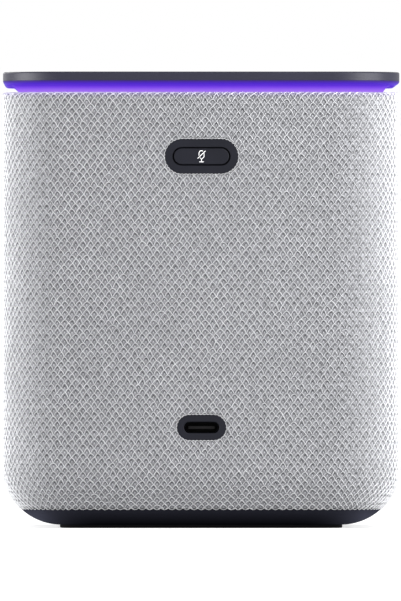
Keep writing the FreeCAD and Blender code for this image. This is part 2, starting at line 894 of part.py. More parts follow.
def lamps():
    """Five lamps along each side of the ring and one on each corner."""
    base = d.deck_top + d.skin_gap + d.lamp_board_thick
    inset = d.lamp_board_inset + d.lamp_board_width / 2
    reach = (d.body_half - inset).value
    corner = (d.body_half - d.corner_radius).value
    corner_reach = corner + (d.corner_radius - inset).value * math.sqrt(0.5)
    pitch = d.lamp_pitch.value
    made = []
    for turn in range(4):
        spin = FreeCAD.Rotation(Vector(0, 0, 1), 90 * turn)
        for k in range(LAMPS_PER_SIDE):
            along = (k - (LAMPS_PER_SIDE - 1) / 2) * pitch
            at = spin.multVec(Vector(reach, along, 0))
            made.append((at, 90 * turn + 90))
        made.append((spin.multVec(Vector(corner_reach, corner_reach, 0)), 90 * turn + 135))
    boxes = [
        block(f"Lamp{k}", d.lamp_length, d.lamp_width, d.lamp_height, at.x, at.y, base, angle)
        for k, (at, angle) in enumerate(made)
    ]
    compound("lamps", boxes)


def top_plate():
    body = new_body("TopPlate")
    side = (d.body_half - d.plate_inset) * 2
    outline = box_outline(side, side, d.corner_radius - d.plate_inset)
    pad(body, outline, d.plate_bottom, d.total_height)
    round_edges(body, d.plate_fillet, at_height(d.total_height))
    bosses = four_circles(Size(3.0), d.case_screw_pitch, d.case_screw_pitch)
    pad(body, bosses, d.deck_top + 0.02, d.plate_bottom + 0.2)
    pilots = four_circles(d.case_screw_radius + 0.02, d.case_screw_pitch, d.case_screw_pitch)
    pocket(body, pilots, d.deck_top - 1, d.plate_bottom + 0.6)
    holes = four_circles(d.mic_hole_radius, d.mic_pitch, d.mic_pitch)
    pocket(body, holes, d.plate_bottom - 1, d.total_height)
    finish(body, "top_plate")


def mic_board():
    body = new_body("MicBoard")
    side = d.mic_board_side
    top = d.mic_board_bottom + d.mic_board_thick
    rings = [box_outline(side, side, 3.0), box_outline(side - 20, side - 20, 3.0)]
    pad(body, rings, d.mic_board_bottom, top)
    holes = four_circles(d.mic_hole_radius, d.mic_pitch, d.mic_pitch)
    pocket(body, holes, d.mic_board_bottom - 1, top)
    finish(body, "mic_board")


def microphones():
    bottom = d.mic_board_bottom - d.mic_height
    made = [
        block(
            f"Mic{k}", d.mic_length, d.mic_width, d.mic_height,
            d.mic_pitch * sx, d.mic_pitch * sy, bottom,
        )
        for k, (sx, sy) in enumerate([(-1, -1), (-1, 1), (1, -1), (1, 1)])
    ]
    compound("microphones", made)


def mic_gaskets():
    body = new_body("MicGaskets")
    top = d.mic_board_bottom + d.mic_board_thick
    rings = four_circles(Size(2.4), d.mic_pitch, d.mic_pitch)
    rings += four_circles(Size(0.9), d.mic_pitch, d.mic_pitch)
    pad(body, rings, top, d.plate_bottom)
    finish(body, "mic_gaskets")


# ------------------------------------------------------------------ screen


def facing_screen(body):
    return stand(body, "front", z=d.screen_centre)


def display_bezel():
    body = new_body("DisplayBezel")
    rim = d.bezel_rim * 2
    outer = box_outline(d.bezel_width, d.bezel_height, d.bezel_corner)
    well = box_outline(d.bezel_width - rim, d.bezel_height - rim, d.bezel_corner - d.bezel_rim)
    ledge = box_outline(d.panel_width + 0.4, d.panel_height + 0.4, 1.7)
    pad(body, [outer, ledge], d.bezel_back, d.bezel_ledge)
    pad(body, [outer, well], d.bezel_ledge, d.body_half)
    front = at_height(d.body_half)
    round_edges(body, Size(0.3), outside_edge(d.bezel_width, d.bezel_height, d.bezel_corner, front))
    facing_screen(finish(body, "display_bezel"))


def outside_edge(width, height, radius, level):
    """A test for points on a rounded rectangle's own edge, at a level."""

    def chosen(point):
        x, y, r = abs(point.x), abs(point.y), number(radius)
        straight_x, straight_y = number(width) / 2 - r, number(height) / 2 - r
        reach = math.hypot(max(x - straight_x, 0), max(y - straight_y, 0))
        return level(point) and abs(reach - r) < 1e-3

    return chosen


def cover_glass():
    body = new_body("CoverGlass")
    front = d.body_half - d.glass_step
    pad(
        body, box_outline(d.glass_width, d.glass_height, d.glass_corner),
        front - d.glass_thick, front,
    )
    round_edges(body, Size(0.2), at_height(front))
    facing_screen(finish(body, "cover_glass"))


def lcd_panel():
    body = new_body("LcdPanel")
    front = d.bezel_ledge - 0.02
    outline = box_outline(d.panel_width, d.panel_height, 1.5)
    pad(body, outline, front - d.panel_thick, front)
    facing_screen(finish(body, "lcd_panel"))


def backlight_unit():
    body = new_body("BacklightUnit")
    front = d.bezel_ledge - d.panel_thick - 0.04
    outline = box_outline(d.panel_width, d.panel_height, 1.5)
    pad(body, outline, front - d.backlight_thick, front)
    facing_screen(finish(body, "backlight_unit"))


def display_frame():
    body = new_body("DisplayFrame")
    top = d.bezel_back - 0.02
    bottom = top - d.frame_thick
    pad(body, box_outline(d.frame_width, d.frame_height, 4.0), bottom, top)
    bore = d.small_screw_radius + d.screw_play
    pocket(body, four_circles(bore, d.frame_screw_across, d.frame_screw_up), bottom, top)
    slot = box_outline(d.ribbon_width + 2, d.ribbon_slot, 0.8, y=-d.ribbon_drop)
    pocket(body, slot, bottom - 1, top)
    lightening = [
        box_outline(16.0, 40.0, 3.0, x=Size(17.0) * s, y=Size(0.0)) for s in (-1, 1)
    ]
    pocket(body, lightening, bottom - 1, top)
    facing_screen(finish(body, "display_frame"))


# ------------------------------------------------------------------ main board


def board_front():
    return d.bezel_back - 0.02 - d.frame_thick - d.standoff_height - 0.02


def board_rear():
    return board_front() - d.board_thick


def board_standoffs():
    body = new_body("BoardStandoffs")
    top = d.bezel_back - 0.04 - d.frame_thick
    posts = four_circles(d.standoff_radius, d.board_screw_across, d.board_screw_up)
    posts += four_circles(d.small_screw_radius + 0.02, d.board_screw_across, d.board_screw_up)
    pad(body, posts, top - d.standoff_height + 0.04, top)
    facing_screen(finish(body, "board_standoffs"))


def main_board():
    body = new_body("MainBoard")
    pad(body, box_outline(d.board_width, d.board_height, 2.5), board_rear(), board_front())
    bore = d.small_screw_radius + d.screw_play
    holes = four_circles(bore, d.board_screw_across, d.board_screw_up)
    pocket(body, holes, board_rear() - 1, board_front())
    facing_screen(finish(body, "main_board"))


def shield_can():
    body = new_body("ShieldCan")
    at = {"x": d.shield_across, "y": d.shield_up}
    top = board_rear() - 0.02
    bottom = top - d.shield_height
    wall = Size(0.3)
    pad(body, box_outline(d.shield_side, d.shield_side, 1.2, **at), bottom, top)
    inner = d.shield_side - wall * 2
    pocket(body, box_outline(inner, inner, 0.9, **at), bottom + wall, top)
    facing_screen(finish(body, "shield_can"))


def processor_chips():
    """The packages on the rear of the board: the processor under the shield, and memory beside it."""
    body = new_body("ProcessorChips")
    top = board_rear() - 0.02
    processor = box_outline(14.0, 14.0, 0.4, x=d.shield_across, y=d.shield_up)
    memory = box_outline(9.0, 6.5, 0.4, x=d.shield_across + 2, y=d.shield_up + 18)
    radio = box_outline(12.0, 10.0, 0.4, x=Size(-20.0), y=Size(18.0))
    amplifier = box_outline(6.0, 6.0, 0.3, x=Size(-20.0), y=Size(-6.0))
    pad(body, [processor, memory, radio, amplifier], top - 1.2, top)
    facing_screen(finish(body, "processor_chips"))


def heat_sink():
    body = new_body("HeatSink")
    top = board_rear() - d.shield_height - 0.04
    base = top - d.sink_base
    at = {"x": d.shield_across, "y": d.shield_up}
    pad(body, box_outline(d.sink_side, d.sink_side, 1.0, **at), base, top)
    first = d.shield_across - d.sink_fin_pitch * ((FIN_COUNT - 1) / 2)
    fins = [
        box_outline(
            d.sink_fin_thick, d.sink_side - 1, 0.3, x=first + d.sink_fin_pitch * k, y=d.shield_up
        )
        for k in range(FIN_COUNT)
    ]
    pad(body, fins, base - d.sink_fin_height, base + 0.1)
    facing_screen(finish(body, "heat_sink"))


CONNECTORS = {
    # name: (across, up, width, height) on the rear of the main board
    "speaker": (20.0, -24.0, 7.0, 5.0),
    "power": (-12.0, -29.0, 9.0, 5.0),
    "lamp": (17.0, 30.5, 7.0, 4.0),
    "button": (-14.0, 29.0, 7.0, 4.0),
    "microphone": (-2.0, 31.0, 7.0, 4.0),
}
CONNECTOR_DEPTH = 2.6


def board_connectors():
    body = new_body("BoardConnectors")
    top = board_rear() - 0.02
    housings = [
        box_outline(w, h, 0.4, x=Size(x), y=Size(y)) for x, y, w, h in CONNECTORS.values()
    ]
    pad(body, housings, top - CONNECTOR_DEPTH, top)
    front = board_front() + 0.02
    ribbon_clip = box_outline(d.ribbon_width + 2, 4.0, 0.4, y=d.ribbon_end + 2.02)
    pad(body, ribbon_clip, front, front + 1.2)
    facing_screen(finish(body, "board_connectors"))


def wifi_antennas():
    wall = d.body_half - d.fabric_thick - d.skin_gap - d.wall_thick
    made = []
    for side, way in (("right", -1), ("left", 1)):
        body = new_body(f"Antenna{side.title()}")
        outline = box_outline(26.0, 9.0, 1.0, x=Size(19.0) * way)
        pad(body, outline, wall - 0.35, wall - 0.05)
        made.append(stand(body, side, z=Size(96.0)))
    compound("wifi_antennas", made)


# ------------------------------------------------------------------ mute button


def facing_mute(body):
    return stand(body, "rear", z=d.mute_height)


def mute_bezel():
    body = new_body("MuteBezel")
    face = stadium_outline(d.mute_bezel_width, d.mute_bezel_height)
    flange = stadium_outline(d.mute_bezel_width + 3, d.mute_bezel_height + 3)
    pad(body, flange, d.insert_back, d.insert_flange)
    pad(body, face, d.insert_back, d.body_half)
    round_edges(body, Size(0.25), at_height(d.body_half))
    hole = stadium_outline(d.mute_hole_width, d.mute_hole_height)
    pocket(body, hole, d.insert_back - 1, d.body_half)
    well = stadium_outline(d.mute_hole_width + 2, d.mute_hole_height + 2)
    pocket(body, well, d.insert_back - 1, d.mute_cap_back + d.mute_flange_thick + 0.03)
    facing_mute(finish(body, "mute_bezel"))


def mute_button():
    body = new_body("MuteButton")
    flange = stadium_outline(d.mute_hole_width + 1.3, d.mute_hole_height + 1.3)
    cap = stadium_outline(d.mute_cap_width, d.mute_cap_height)
    pad(body, flange, d.mute_cap_back, d.mute_cap_back + d.mute_flange_thick)
    pad(body, cap, d.mute_cap_back, d.mute_cap_face)
    round_edges(body, Size(0.18), at_height(d.mute_cap_face))
    pad(body, circle_outline(d.mute_post_radius), d.mute_post_end, d.mute_cap_back + 0.1)
    facing_mute(finish(body, "mute_button"))


def switch_body():
    body = new_body("SwitchBody")
    outline = box_outline(d.switch_side, d.switch_side, 0.5)
    pad(body, outline, d.switch_back + 0.02, d.switch_face)
    well = circle_outline(d.plunger_radius + 0.3)
    pocket(body, well, d.plunger_back - 0.8, d.switch_face)
    facing_mute(finish(body, "switch_body"))


def switch_plunger():
    body = new_body("SwitchPlunger")
    pad(body, circle_outline(d.plunger_radius), d.plunger_back, d.mute_post_end - 0.01)
    facing_mute(finish(body, "switch_plunger"))


def button_board():
    body = new_body("ButtonBoard")
    bottom = d.switch_back - d.small_board_thick
    pad(body, box_outline(d.button_board_width, d.button_board_height, 1.5), bottom, d.switch_back)
    bore = d.small_screw_radius + d.screw_play
    holes = [circle_outline(bore, d.button_post_across * s) for s in (-1, 1)]
    pocket(body, holes, bottom - 1, d.switch_back)
    facing_mute(finish(body, "button_board"))


# ------------------------------------------------------------------ power socket


def facing_port(body):
    return stand(body, "rear", z=d.port_height)


def port_bezel():
    body = new_body("PortBezel")
    pad(
        body, stadium_outline(d.port_bezel_width + 3, d.port_bezel_height + 3),
        d.insert_back, d.insert_flange,
    )
    pad(body, stadium_outline(d.port_bezel_width, d.port_bezel_height), d.insert_back, d.body_half)
    round_edges(body, Size(0.25), at_height(d.body_half))
    hole = stadium_outline(d.port_hole_width, d.port_hole_height)
    pocket(body, hole, d.insert_back - 1, d.body_half)
    cavity = stadium_outline(d.socket_width + 0.3, d.socket_height + 0.3)
    pocket(body, cavity, d.insert_back - 1, d.socket_face + 0.05)
    mouth_edge = stadium_edge(d.port_hole_width, d.port_hole_height, at_height(d.body_half))
    round_edges(body, Size(0.22), mouth_edge)
    facing_port(finish(body, "port_bezel"))


def stadium_edge(width, height, level):
    """A test for points on a slot shape's own edge, at a level."""

    def chosen(point):
        r = number(height) / 2
        reach = math.hypot(max(abs(point.x) - (number(width) / 2 - r), 0), abs(point.y))
        return level(point) and abs(reach - r) < 1e-3

    return chosen


def socket_shell():
    body = new_body("SocketShell")
    outline = stadium_outline(d.socket_width, d.socket_height)
    pad(body, outline, d.socket_back, d.socket_face)
    inner = stadium_outline(
        d.socket_width - d.socket_metal * 2, d.socket_height - d.socket_metal * 2
    )
    pocket(body, inner, d.socket_back + d.socket_metal, d.socket_face)
    facing_port(finish(body, "socket_shell"))


def socket_tongue():
    body = new_body("SocketTongue")
    back = d.socket_back + d.socket_metal + 0.02
    play = Size(0.06)
    root = stadium_outline(
        d.socket_width - (d.socket_metal + play) * 2, d.socket_height - (d.socket_metal + play) * 2
    )
    pad(body, root, back, back + 1.4)
    tongue = box_outline(d.tongue_width, d.tongue_thick, 0.2)
    pad(body, tongue, back + 1.2, d.tongue_face)
    facing_port(finish(body, "socket_tongue"))


def socket_board():
    body = new_body("SocketBoard")
    top = d.port_height - d.socket_height / 2 - 0.01
    length = d.socket_board_rear - d.socket_board_front
    middle = (d.socket_board_rear + d.socket_board_front) / 2
    pad(
        body, box_outline(d.socket_board_width, length, 1.2, y=middle),
        top - d.small_board_thick, top,
    )
    bore = d.small_screw_radius + d.screw_play
    holes = [circle_outline(bore, d.socket_post_across * s, d.socket_post_forward) for s in (-1, 1)]
    pocket(body, holes, top - d.small_board_thick - 1, top)
    finish(body, "socket_board")


# ------------------------------------------------------------------ sound


def perforate(body, ring_counts, bottom, top):
    """A middle hole and rings of holes round it."""
    pocket(body, circle_outline(d.grille_hole_radius), bottom, top)
    for ring, count in enumerate(ring_counts, start=1):
        hole = circle_outline(d.grille_hole_radius, x=d.grille_ring_pitch * ring)
        repeat_round(body, pocket(body, hole, bottom, top), count)


def grille(radius, rings):
    body = new_body("Grille")
    top = d.body_half - d.fabric_thick - d.skin_gap - 0.02
    pad(body, circle_outline(radius), top - d.grille_thick, top)
    perforate(body, rings, top - d.grille_thick, top)
    return body


def grilles():
    rear = grille(d.grille_radius, GRILLE_RING_HOLES)
    stand(finish(rear, "rear_grille"), "rear", z=d.sound_height)
    sides = []
    for side in ("left", "right"):
        body = grille(d.side_grille_radius, GRILLE_RING_HOLES[:4])
        sides.append(stand(body, side, z=d.sound_height))
    compound("side_grilles", sides)


def facing_sound(body):
    return stand(body, "rear", z=d.sound_height)


def turned(label, points, centres=None):
    """A driver piece turned about the driver's axis."""
    body = new_body("".join(word.title() for word in label.split("_")))
    revolve(body, points, centres)
    return facing_sound(finish(body, label))


def driver_gasket():
    top = d.body_half - d.fabric_thick - d.skin_gap - d.wall_thick - 0.02
    turned("driver_gasket", ring_section(d.window_radius + 0.3, d.driver_radius, d.driver_face, top))


def driver_basket():
    """The cast frame: a flange with four ears, a cone of spokes, and a seat for the magnet."""
    body = new_body("DriverBasket")
    face = d.driver_face - 0.02
    flange_back = face - d.driver_flange_thick
    back_top = d.basket_back + 1.4
    points = [
        (Size(24.4), face),
        (Size(24.4), d.basket_seat),
        (Size(23.3), d.basket_seat),
        (Size(23.3), d.basket_seat - 1.1),
        (Size(18.9), back_top + 0.6),
        (Size(16.4), back_top + 0.6),
        (Size(16.4), back_top),
        (d.basket_bore, back_top),
        (d.basket_bore, d.basket_back),
        (Size(20.4), d.basket_back),
        (Size(20.4), back_top + 0.2),
        (Size(25.8), flange_back),
        (d.driver_radius, flange_back),
        (d.driver_radius, face),
    ]
    revolve(body, points)
    ears = four_circles(d.driver_ear_radius, d.driver_ear_pitch, d.driver_ear_pitch)
    pad(body, ears, flange_back, face)
    terminals = box_outline(d.terminal_width, d.terminal_height, 0.8, y=-d.terminal_drop)
    pad(body, terminals, flange_back, face)
    bore = d.small_screw_radius + d.screw_play
    holes = four_circles(bore, d.driver_ear_pitch, d.driver_ear_pitch)
    pocket(body, holes, flange_back - 1, face)
    spokes = [
        box_outline(22.0, 3.6, 0.8, y=Size(22.3) * s) for s in (-1, 1)
    ]
    spokes += [
        box_outline(3.6, 22.0, 0.8, x=Size(22.3) * s, y=Size(0.0)) for s in (-1, 1)
    ]
    pocket(body, spokes, back_top + 1.0, flange_back - 1.4)
    facing_sound(finish(body, "driver_basket"))


def driver_motor():
    """The ring magnet between its front washer and the yoke with its pole."""
    gap = Size(0.02)
    front = d.basket_back - gap
    washer = ring_section(d.washer_bore, d.magnet_radius - 0.5, d.magnet_front + gap, front)
    turned("driver_washer", washer)
    magnet = ring_section(d.magnet_bore, d.magnet_radius, d.magnet_back, d.magnet_front)
    turned("driver_magnet", magnet)
    zero = Size(0.0)
    yoke = [
        (zero, d.yoke_back),
        (d.magnet_radius - 0.5, d.yoke_back),
        (d.magnet_radius - 0.5, d.magnet_back - gap),
        (d.pole_radius, d.magnet_back - gap),
        (d.pole_radius, front),
        (zero, front),
    ]
    turned("driver_yoke", yoke)


def voice_coil():
    turned("voice_coil", ring_section(d.coil_inner, d.coil_outer, d.coil_back, d.neck_height - 0.02))


def driver_cone():
    half = d.paper_thick
    points = [
        (d.coil_inner, d.neck_height),
        (d.coil_outer, d.neck_height),
        (d.rim_radius - 1, d.rim_height - half),
        (d.rim_radius, d.rim_height - half),
        (d.rim_radius, d.rim_height),
        (d.rim_radius - 1.3, d.rim_height),
        (d.coil_inner, d.neck_height + half + 0.1),
    ]
    turned("driver_cone", points)


def dust_cap():
    """A thin dome glued to the cone over the voice coil."""
    middle = Size(31.5)
    inner, outer = Size(12.0), Size(12.35)
    inner_rim, outer_rim = Size(9.6), Size(9.95)
    zero = Size(0.0)
    points = [
        (zero, middle + inner),
        (inner_rim, middle + (inner * inner - inner_rim * inner_rim).root()),
        (outer_rim, middle + (outer * outer - outer_rim * outer_rim).root()),
        (zero, middle + outer),
    ]
    centres = {0: (zero, middle, "right"), 2: (zero, middle, "left")}
    turned("dust_cap", points, centres)


def roll_section(middle, seat, radius, inner_land, outer_land):
    """A half-roll surround: a flat land, a half round, and a flat land."""
    t = d.roll_thick
    outer = radius + t / 2
    inner = radius - t / 2
    reach = (outer * outer - t * t).root()
    points = [
        (inner_land, seat),
        (middle - inner, seat),
        (middle + inner, seat),
        (outer_land, seat),
        (outer_land, seat + t),
        (middle + reach, seat + t),
        (middle - reach, seat + t),
        (inner_land, seat + t),
    ]
    centres = {1: (middle, seat, "right"), 5: (middle, seat, "left")}
    return points, centres


def driver_surround():
    middle = (d.rim_radius + 23.4) / 2
    points, centres = roll_section(
        middle, d.basket_seat + 0.05, d.roll_radius, d.rim_radius - 1.0, Size(24.3)
    )
    turned("driver_surround", points, centres)


def driver_spider():
    """The corrugated centring disc between the voice coil and the basket."""
    seat = d.basket_back + 2.02
    inner, outer = d.coil_outer + 0.05, Size(18.4)
    waves = 4
    step = (outer - inner) / (2 * waves)
    rise, thick = Size(0.55), Size(0.25)
    lower = [(inner + step * k, seat + rise * (k % 2)) for k in range(2 * waves)]
    lower.append((outer, seat))
    upper = [(x, y + thick) for x, y in reversed(lower)]
    turned("driver_spider", lower + upper)


def radiator_frames():
    made = []
    wall = d.body_half - d.fabric_thick - d.skin_gap - d.wall_thick - 0.02
    for side in ("left", "right"):
        body = new_body("RadiatorFrame")
        points = [
            (Size(22.6), wall),
            (Size(22.6), d.basket_seat),
            (Size(21.8), d.basket_seat),
            (Size(21.8), d.basket_seat - 0.8),
            (Size(24.0), d.basket_seat - 0.8),
            (Size(24.0), wall - 1.4),
            (Size(27.0), wall - 1.4),
            (Size(27.0), wall),
        ]
        revolve(body, points)
        made.append(stand(body, side, z=d.sound_height))
    compound("radiator_frames", made)


def radiator(side):
    """A passive radiator: a weighted plate that moves on its surround."""
    plate = new_body("RadiatorPlate")
    top = d.basket_seat - 0.05
    pad(plate, circle_outline(d.radiator_plate_radius), top - 1.0, top)
    pad(plate, circle_outline(Size(8.0)), top - 2.6, top - 0.9)
    stand(finish(plate, f"{side}_radiator_plate"), side, z=d.sound_height)
    surround = new_body("RadiatorSurround")
    middle = (d.radiator_plate_radius + 21.8) / 2
    points, centres = roll_section(
        middle, d.basket_seat + 0.02, d.radiator_roll_radius,
        d.radiator_plate_radius - 1.5, Size(22.5),
    )
    revolve(surround, points, centres)
    stand(finish(surround, f"{side}_radiator_surround"), side, z=d.sound_height)


# ------------------------------------------------------------------ fasteners


def screw(name, radius, length, head_radius, head_height, facing, x, y, z):
    """A cylinder-head screw with a hexagon socket. Its own +Z runs along the shank to the tip."""
    body = new_body(name)
    pad(body, circle_outline(head_radius), -head_height, 0.0)
    pad(body, circle_outline(radius), 0.0, length)
    side = head_radius * 0.42
    points = [
        (side * math.cos(math.radians(60 * k)), side * math.sin(math.radians(60 * k)))
        for k in range(6)
    ]
    pocket(body, section_outline(points), -head_height, head_height * -0.4)
    return stand(body, facing, x, y, z)


def case_screws():
    """Twelve alike: four hold the base, four the deck, four the top plate."""
    small = {
        "radius": d.case_screw_radius, "length": d.case_screw_length,
        "head_radius": d.case_head_radius, "head_height": d.case_head_height,
    }
    made = []
    for sx, sy in [(-1, -1), (-1, 1), (1, -1), (1, 1)]:
        px, py = d.case_screw_pitch * sx, d.case_screw_pitch * sy
        under_deck = d.ledge_top + d.gasket_thick - 0.02
        made.append(screw("BaseScrew", facing="up", x=px, y=py, z=d.base_floor_top - 0.02, **small))
        made.append(screw("PlateScrew", facing="up", x=px, y=py, z=under_deck, **small))
        qx, qy = d.deck_screw_pitch * sx, d.deck_screw_pitch * sy
        seat = d.deck_top - d.case_head_height - 0.18
        made.append(screw("DeckScrew", facing="down", x=qx, y=qy, z=seat, **small))
    compound("case_screws", made)


def small_screws():
    """Sixteen alike, for the screen's frame, the boards and the driver."""
    small = {
        "radius": d.small_screw_radius, "length": d.small_screw_length,
        "head_radius": d.small_head_radius, "head_height": d.small_head_height,
    }
    made = []
    gap = 0.02
    frame_back = d.bezel_back - d.frame_thick - 0.02
    ear_back = d.driver_face - d.driver_flange_thick - 0.02
    for sx in (-1, 1):
        for sy in (-1, 1):
            made.append(
                screw(
                    "FrameScrew", facing="front", x=d.frame_screw_across * sx,
                    y=-(frame_back - gap), z=d.screen_centre + d.frame_screw_up * sy, **small,
                )
            )
            made.append(
                screw(
                    "BoardScrew", facing="front", x=d.board_screw_across * sx,
                    y=-(board_rear() - gap), z=d.screen_centre + d.board_screw_up * sy, **small,
                )
            )
            made.append(
                screw(
                    "DriverScrew", facing="rear", x=d.driver_ear_pitch * sx,
                    y=ear_back - gap, z=d.sound_height + d.driver_ear_pitch * sy, **small,
                )
            )
        made.append(
            screw(
                "ButtonScrew", facing="rear", x=d.button_post_across * sx,
                y=d.switch_back - d.small_board_thick - gap, z=d.mute_height, **small,
            )
        )
        board_top = d.port_height - d.socket_height / 2 - 0.01
        made.append(
            screw(
                "SocketScrew", facing="down", x=d.socket_post_across * sx,
                y=d.socket_post_forward, z=board_top + gap, **small,
            )
        )
    compound("small_screws", made)


# ------------------------------------------------------------------ wiring


def rounded_path(points, share=0.45):
    """Straight runs joined by tangent arcs, each as large as its two runs allow."""
    points = [Vector(*p) for p in points]
    edges, start = [], points[0]
    for before, corner, after in zip(points, points[1:], points[2:]):
        first, second = corner - before, after - corner
        cut = share * min(first.Length, second.Length)
        first.normalize()
        second.normalize()
        begin, end = corner - first * cut, corner + second * cut
        half_turn = first.getAngle(second) / 2
        radius = cut / math.tan(half_turn)
        inward = (second - first).normalize()
        middle = corner + inward * (math.hypot(radius, cut) - radius)
        edges.append(Part.LineSegment(start, begin).toShape())
        edges.append(Part.Arc(begin, middle, end).toShape())
        start = end
    edges.append(Part.LineSegment(start, points[-1]).toShape())
    return Part.Wire(edges)


def swept(label, points, profile):
    path = rounded_path(points)
    item = doc.addObject("Part::Feature", label)
    item.Shape = path.makePipeShell([profile], True, False)
    expected = Part.Face(profile).Area * path.Length
    if abs(item.Shape.Volume - expected) > 0.03 * expected:
        raise ValueError(f"{label} holds {item.Shape.Volume:.1f}, and its route asks {expected:.1f}")
    return finish(item, label)


def lead(label, points):
    """A round multi-core lead along a route fixed at both ends."""
    start = Vector(*points[0])
    way = Vector(*points[1]) - start
    circle = Part.Circle(start, way, d.lead_radius.value)
    swept(label, points, Part.Wire([circle.toShape()]))


def plug_run(name):
    """The last two points of a lead, square to its connector on the rear of the main board."""
    across, up, _, _ = CONNECTORS[name]
    y = -(board_rear().value - 0.02 - CONNECTOR_DEPTH) + 0.02
    z = d.screen_centre.value + up
    return [(across, y + 5, z), (across, y, z)]


def leads():
    """Five leads, each square to what it meets at both ends."""
    terminal_y = d.driver_face.value - d.driver_flange_thick.value - 0.04
    terminal_z = d.sound_height.value - d.terminal_drop.value - 0.5
    route = [(0, terminal_y, terminal_z), (0, 38, terminal_z), (2, 20, 28), (18, -24, 30)]
    lead("speaker_lead", route + plug_run("speaker"))
    board_edge = d.socket_board_front.value - 0.02
    board_level = d.port_height.value - d.socket_height.value / 2 - 0.5
    route = [(0, board_edge, board_level), (0, 16, board_level), (-11, -20, 25)]
    lead("power_lead", route + plug_run("power"))
    ring_inside = d.body_half.value - d.lamp_board_inset.value - d.lamp_board_width.value - 0.02
    lamp_level = d.deck_top.value + d.lead_radius.value + 0.05
    route = [(ring_inside, 0, lamp_level), (10.5, -1, lamp_level), (8, -4, 104), (15, -22, 98)]
    lead("lamp_lead", route + plug_run("lamp"))
    board_face = d.switch_back.value - d.small_board_thick.value - 0.02
    route = [(6, board_face, 96.5), (6, 31, 96.5), (-2, 0, 101), (-12, -25, 97)]
    lead("button_lead", route + plug_run("button"))
    mic_face = d.mic_board_bottom.value - 0.02
    route = [(-2, -13, mic_face), (-2, -13, 104), (-2, -25, 98)]
    lead("mic_lead", route + plug_run("microphone"))


def display_ribbon():
    """The flat cable from the back of the screen, through the frame, to the front of the board."""
    thick, width = d.ribbon_thick.value, d.ribbon_width.value
    screen_back = d.bezel_ledge - d.panel_thick - d.backlight_thick - 0.06
    start_y = -screen_back.value
    drop = d.screen_centre.value - d.ribbon_drop.value
    turn_y = start_y + 2.7
    board_y = -(board_front().value + 0.4)
    end = d.screen_centre.value + d.ribbon_end.value
    points = [
        (0, start_y, drop),
        (0, turn_y, drop),
        (0, turn_y, drop + 4.5),
        (0, board_y, drop + 7.5),
        (0, board_y, end),
    ]
    corners = [
        Vector(sx * width / 2, start_y, drop + sz * thick / 2)
        for sx, sz in [(-1, -1), (1, -1), (1, 1), (-1, 1), (-1, -1)]
    ]
    swept("display_ribbon", points, Part.makePolygon(corners))


# ------------------------------------------------------------------ assembly


def build():
    rubber_foot()
    base_cover()
    fabric_sleeve()
    housing()
    deck_gasket()
    top_deck()
    light_guide()
    lamp_board()
    lamps()
    top_plate()
    mic_board()
    microphones()
    mic_gaskets()
    display_bezel()
    cover_glass()
    lcd_panel()
    backlight_unit()
    display_frame()
    board_standoffs()
    main_board()
    shield_can()
    processor_chips()
    heat_sink()
    board_connectors()
    wifi_antennas()
    mute_bezel()
    mute_button()
    switch_body()
    switch_plunger()
    button_board()
    port_bezel()
    socket_shell()
    socket_tongue()
    socket_board()
    grilles()
    driver_gasket()
    driver_basket()
    driver_motor()
    voice_coil()
    driver_cone()
    dust_cap()
    driver_surround()
    driver_spider()
    radiator_frames()
    radiator("left")
    radiator("right")
    case_screws()
    small_screws()
    leads()
    display_ribbon()
    doc.recompute()


def check():
    """Stops if a feature failed, a cut removed nothing, or a sub-part is not a valid solid."""
    for item in doc.Objects:
        if "Invalid" in item.State or "Error" in item.State:
            raise ValueError(f"{item.Label} failed to build: {item.State}")
        if item.TypeId == "PartDesign::Pocket" and item.BaseFeature:
            if item.BaseFeature.Shape.Volume - item.Shape.Volume < 1e-6:
                body = item.getParentGeoFeatureGroup().Label
                raise ValueError(f"{item.Label} of {body} cuts nothing")
    for label, item in finished.items():
        shape = item.Shape
        if shape.isNull() or not shape.isValid() or not shape.Solids:
            raise ValueError(f"{label} is not a valid solid")


def write():
    os.makedirs("parts", exist_ok=True)
    for old in os.listdir("parts"):
        os.remove(os.path.join("parts", old))
    for label, item in finished.items():
        item.Shape.exportStep(f"parts/{label}.step")
    print(f"{len(finished)} sub-parts written")


build()
check()
write()
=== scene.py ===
"""The looks of the smart display: knit cloth, lit ring, plastics, screen and inner parts.

Metres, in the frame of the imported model: +Z up, the screen faces -Y, and the mute button and the
power socket face +Y.
"""

import json
import math

import bpy
import numpy as np
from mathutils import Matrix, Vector


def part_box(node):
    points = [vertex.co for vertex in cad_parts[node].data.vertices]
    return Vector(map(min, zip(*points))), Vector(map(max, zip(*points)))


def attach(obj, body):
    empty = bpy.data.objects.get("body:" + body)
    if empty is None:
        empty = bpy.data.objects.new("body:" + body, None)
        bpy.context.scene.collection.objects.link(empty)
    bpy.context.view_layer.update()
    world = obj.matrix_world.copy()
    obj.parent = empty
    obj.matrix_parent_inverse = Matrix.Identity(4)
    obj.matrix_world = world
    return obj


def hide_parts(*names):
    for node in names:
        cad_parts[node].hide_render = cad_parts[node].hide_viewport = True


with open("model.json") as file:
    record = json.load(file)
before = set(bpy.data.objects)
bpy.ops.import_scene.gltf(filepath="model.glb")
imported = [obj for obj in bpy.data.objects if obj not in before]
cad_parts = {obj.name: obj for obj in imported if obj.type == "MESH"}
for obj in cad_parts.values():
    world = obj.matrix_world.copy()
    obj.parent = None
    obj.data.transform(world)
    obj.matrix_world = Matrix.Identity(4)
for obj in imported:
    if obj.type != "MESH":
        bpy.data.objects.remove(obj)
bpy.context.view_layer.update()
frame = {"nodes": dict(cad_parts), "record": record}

MM = 0.001
RANDOM_SEED = 7

# ------------------------------------------------------------------ sizes

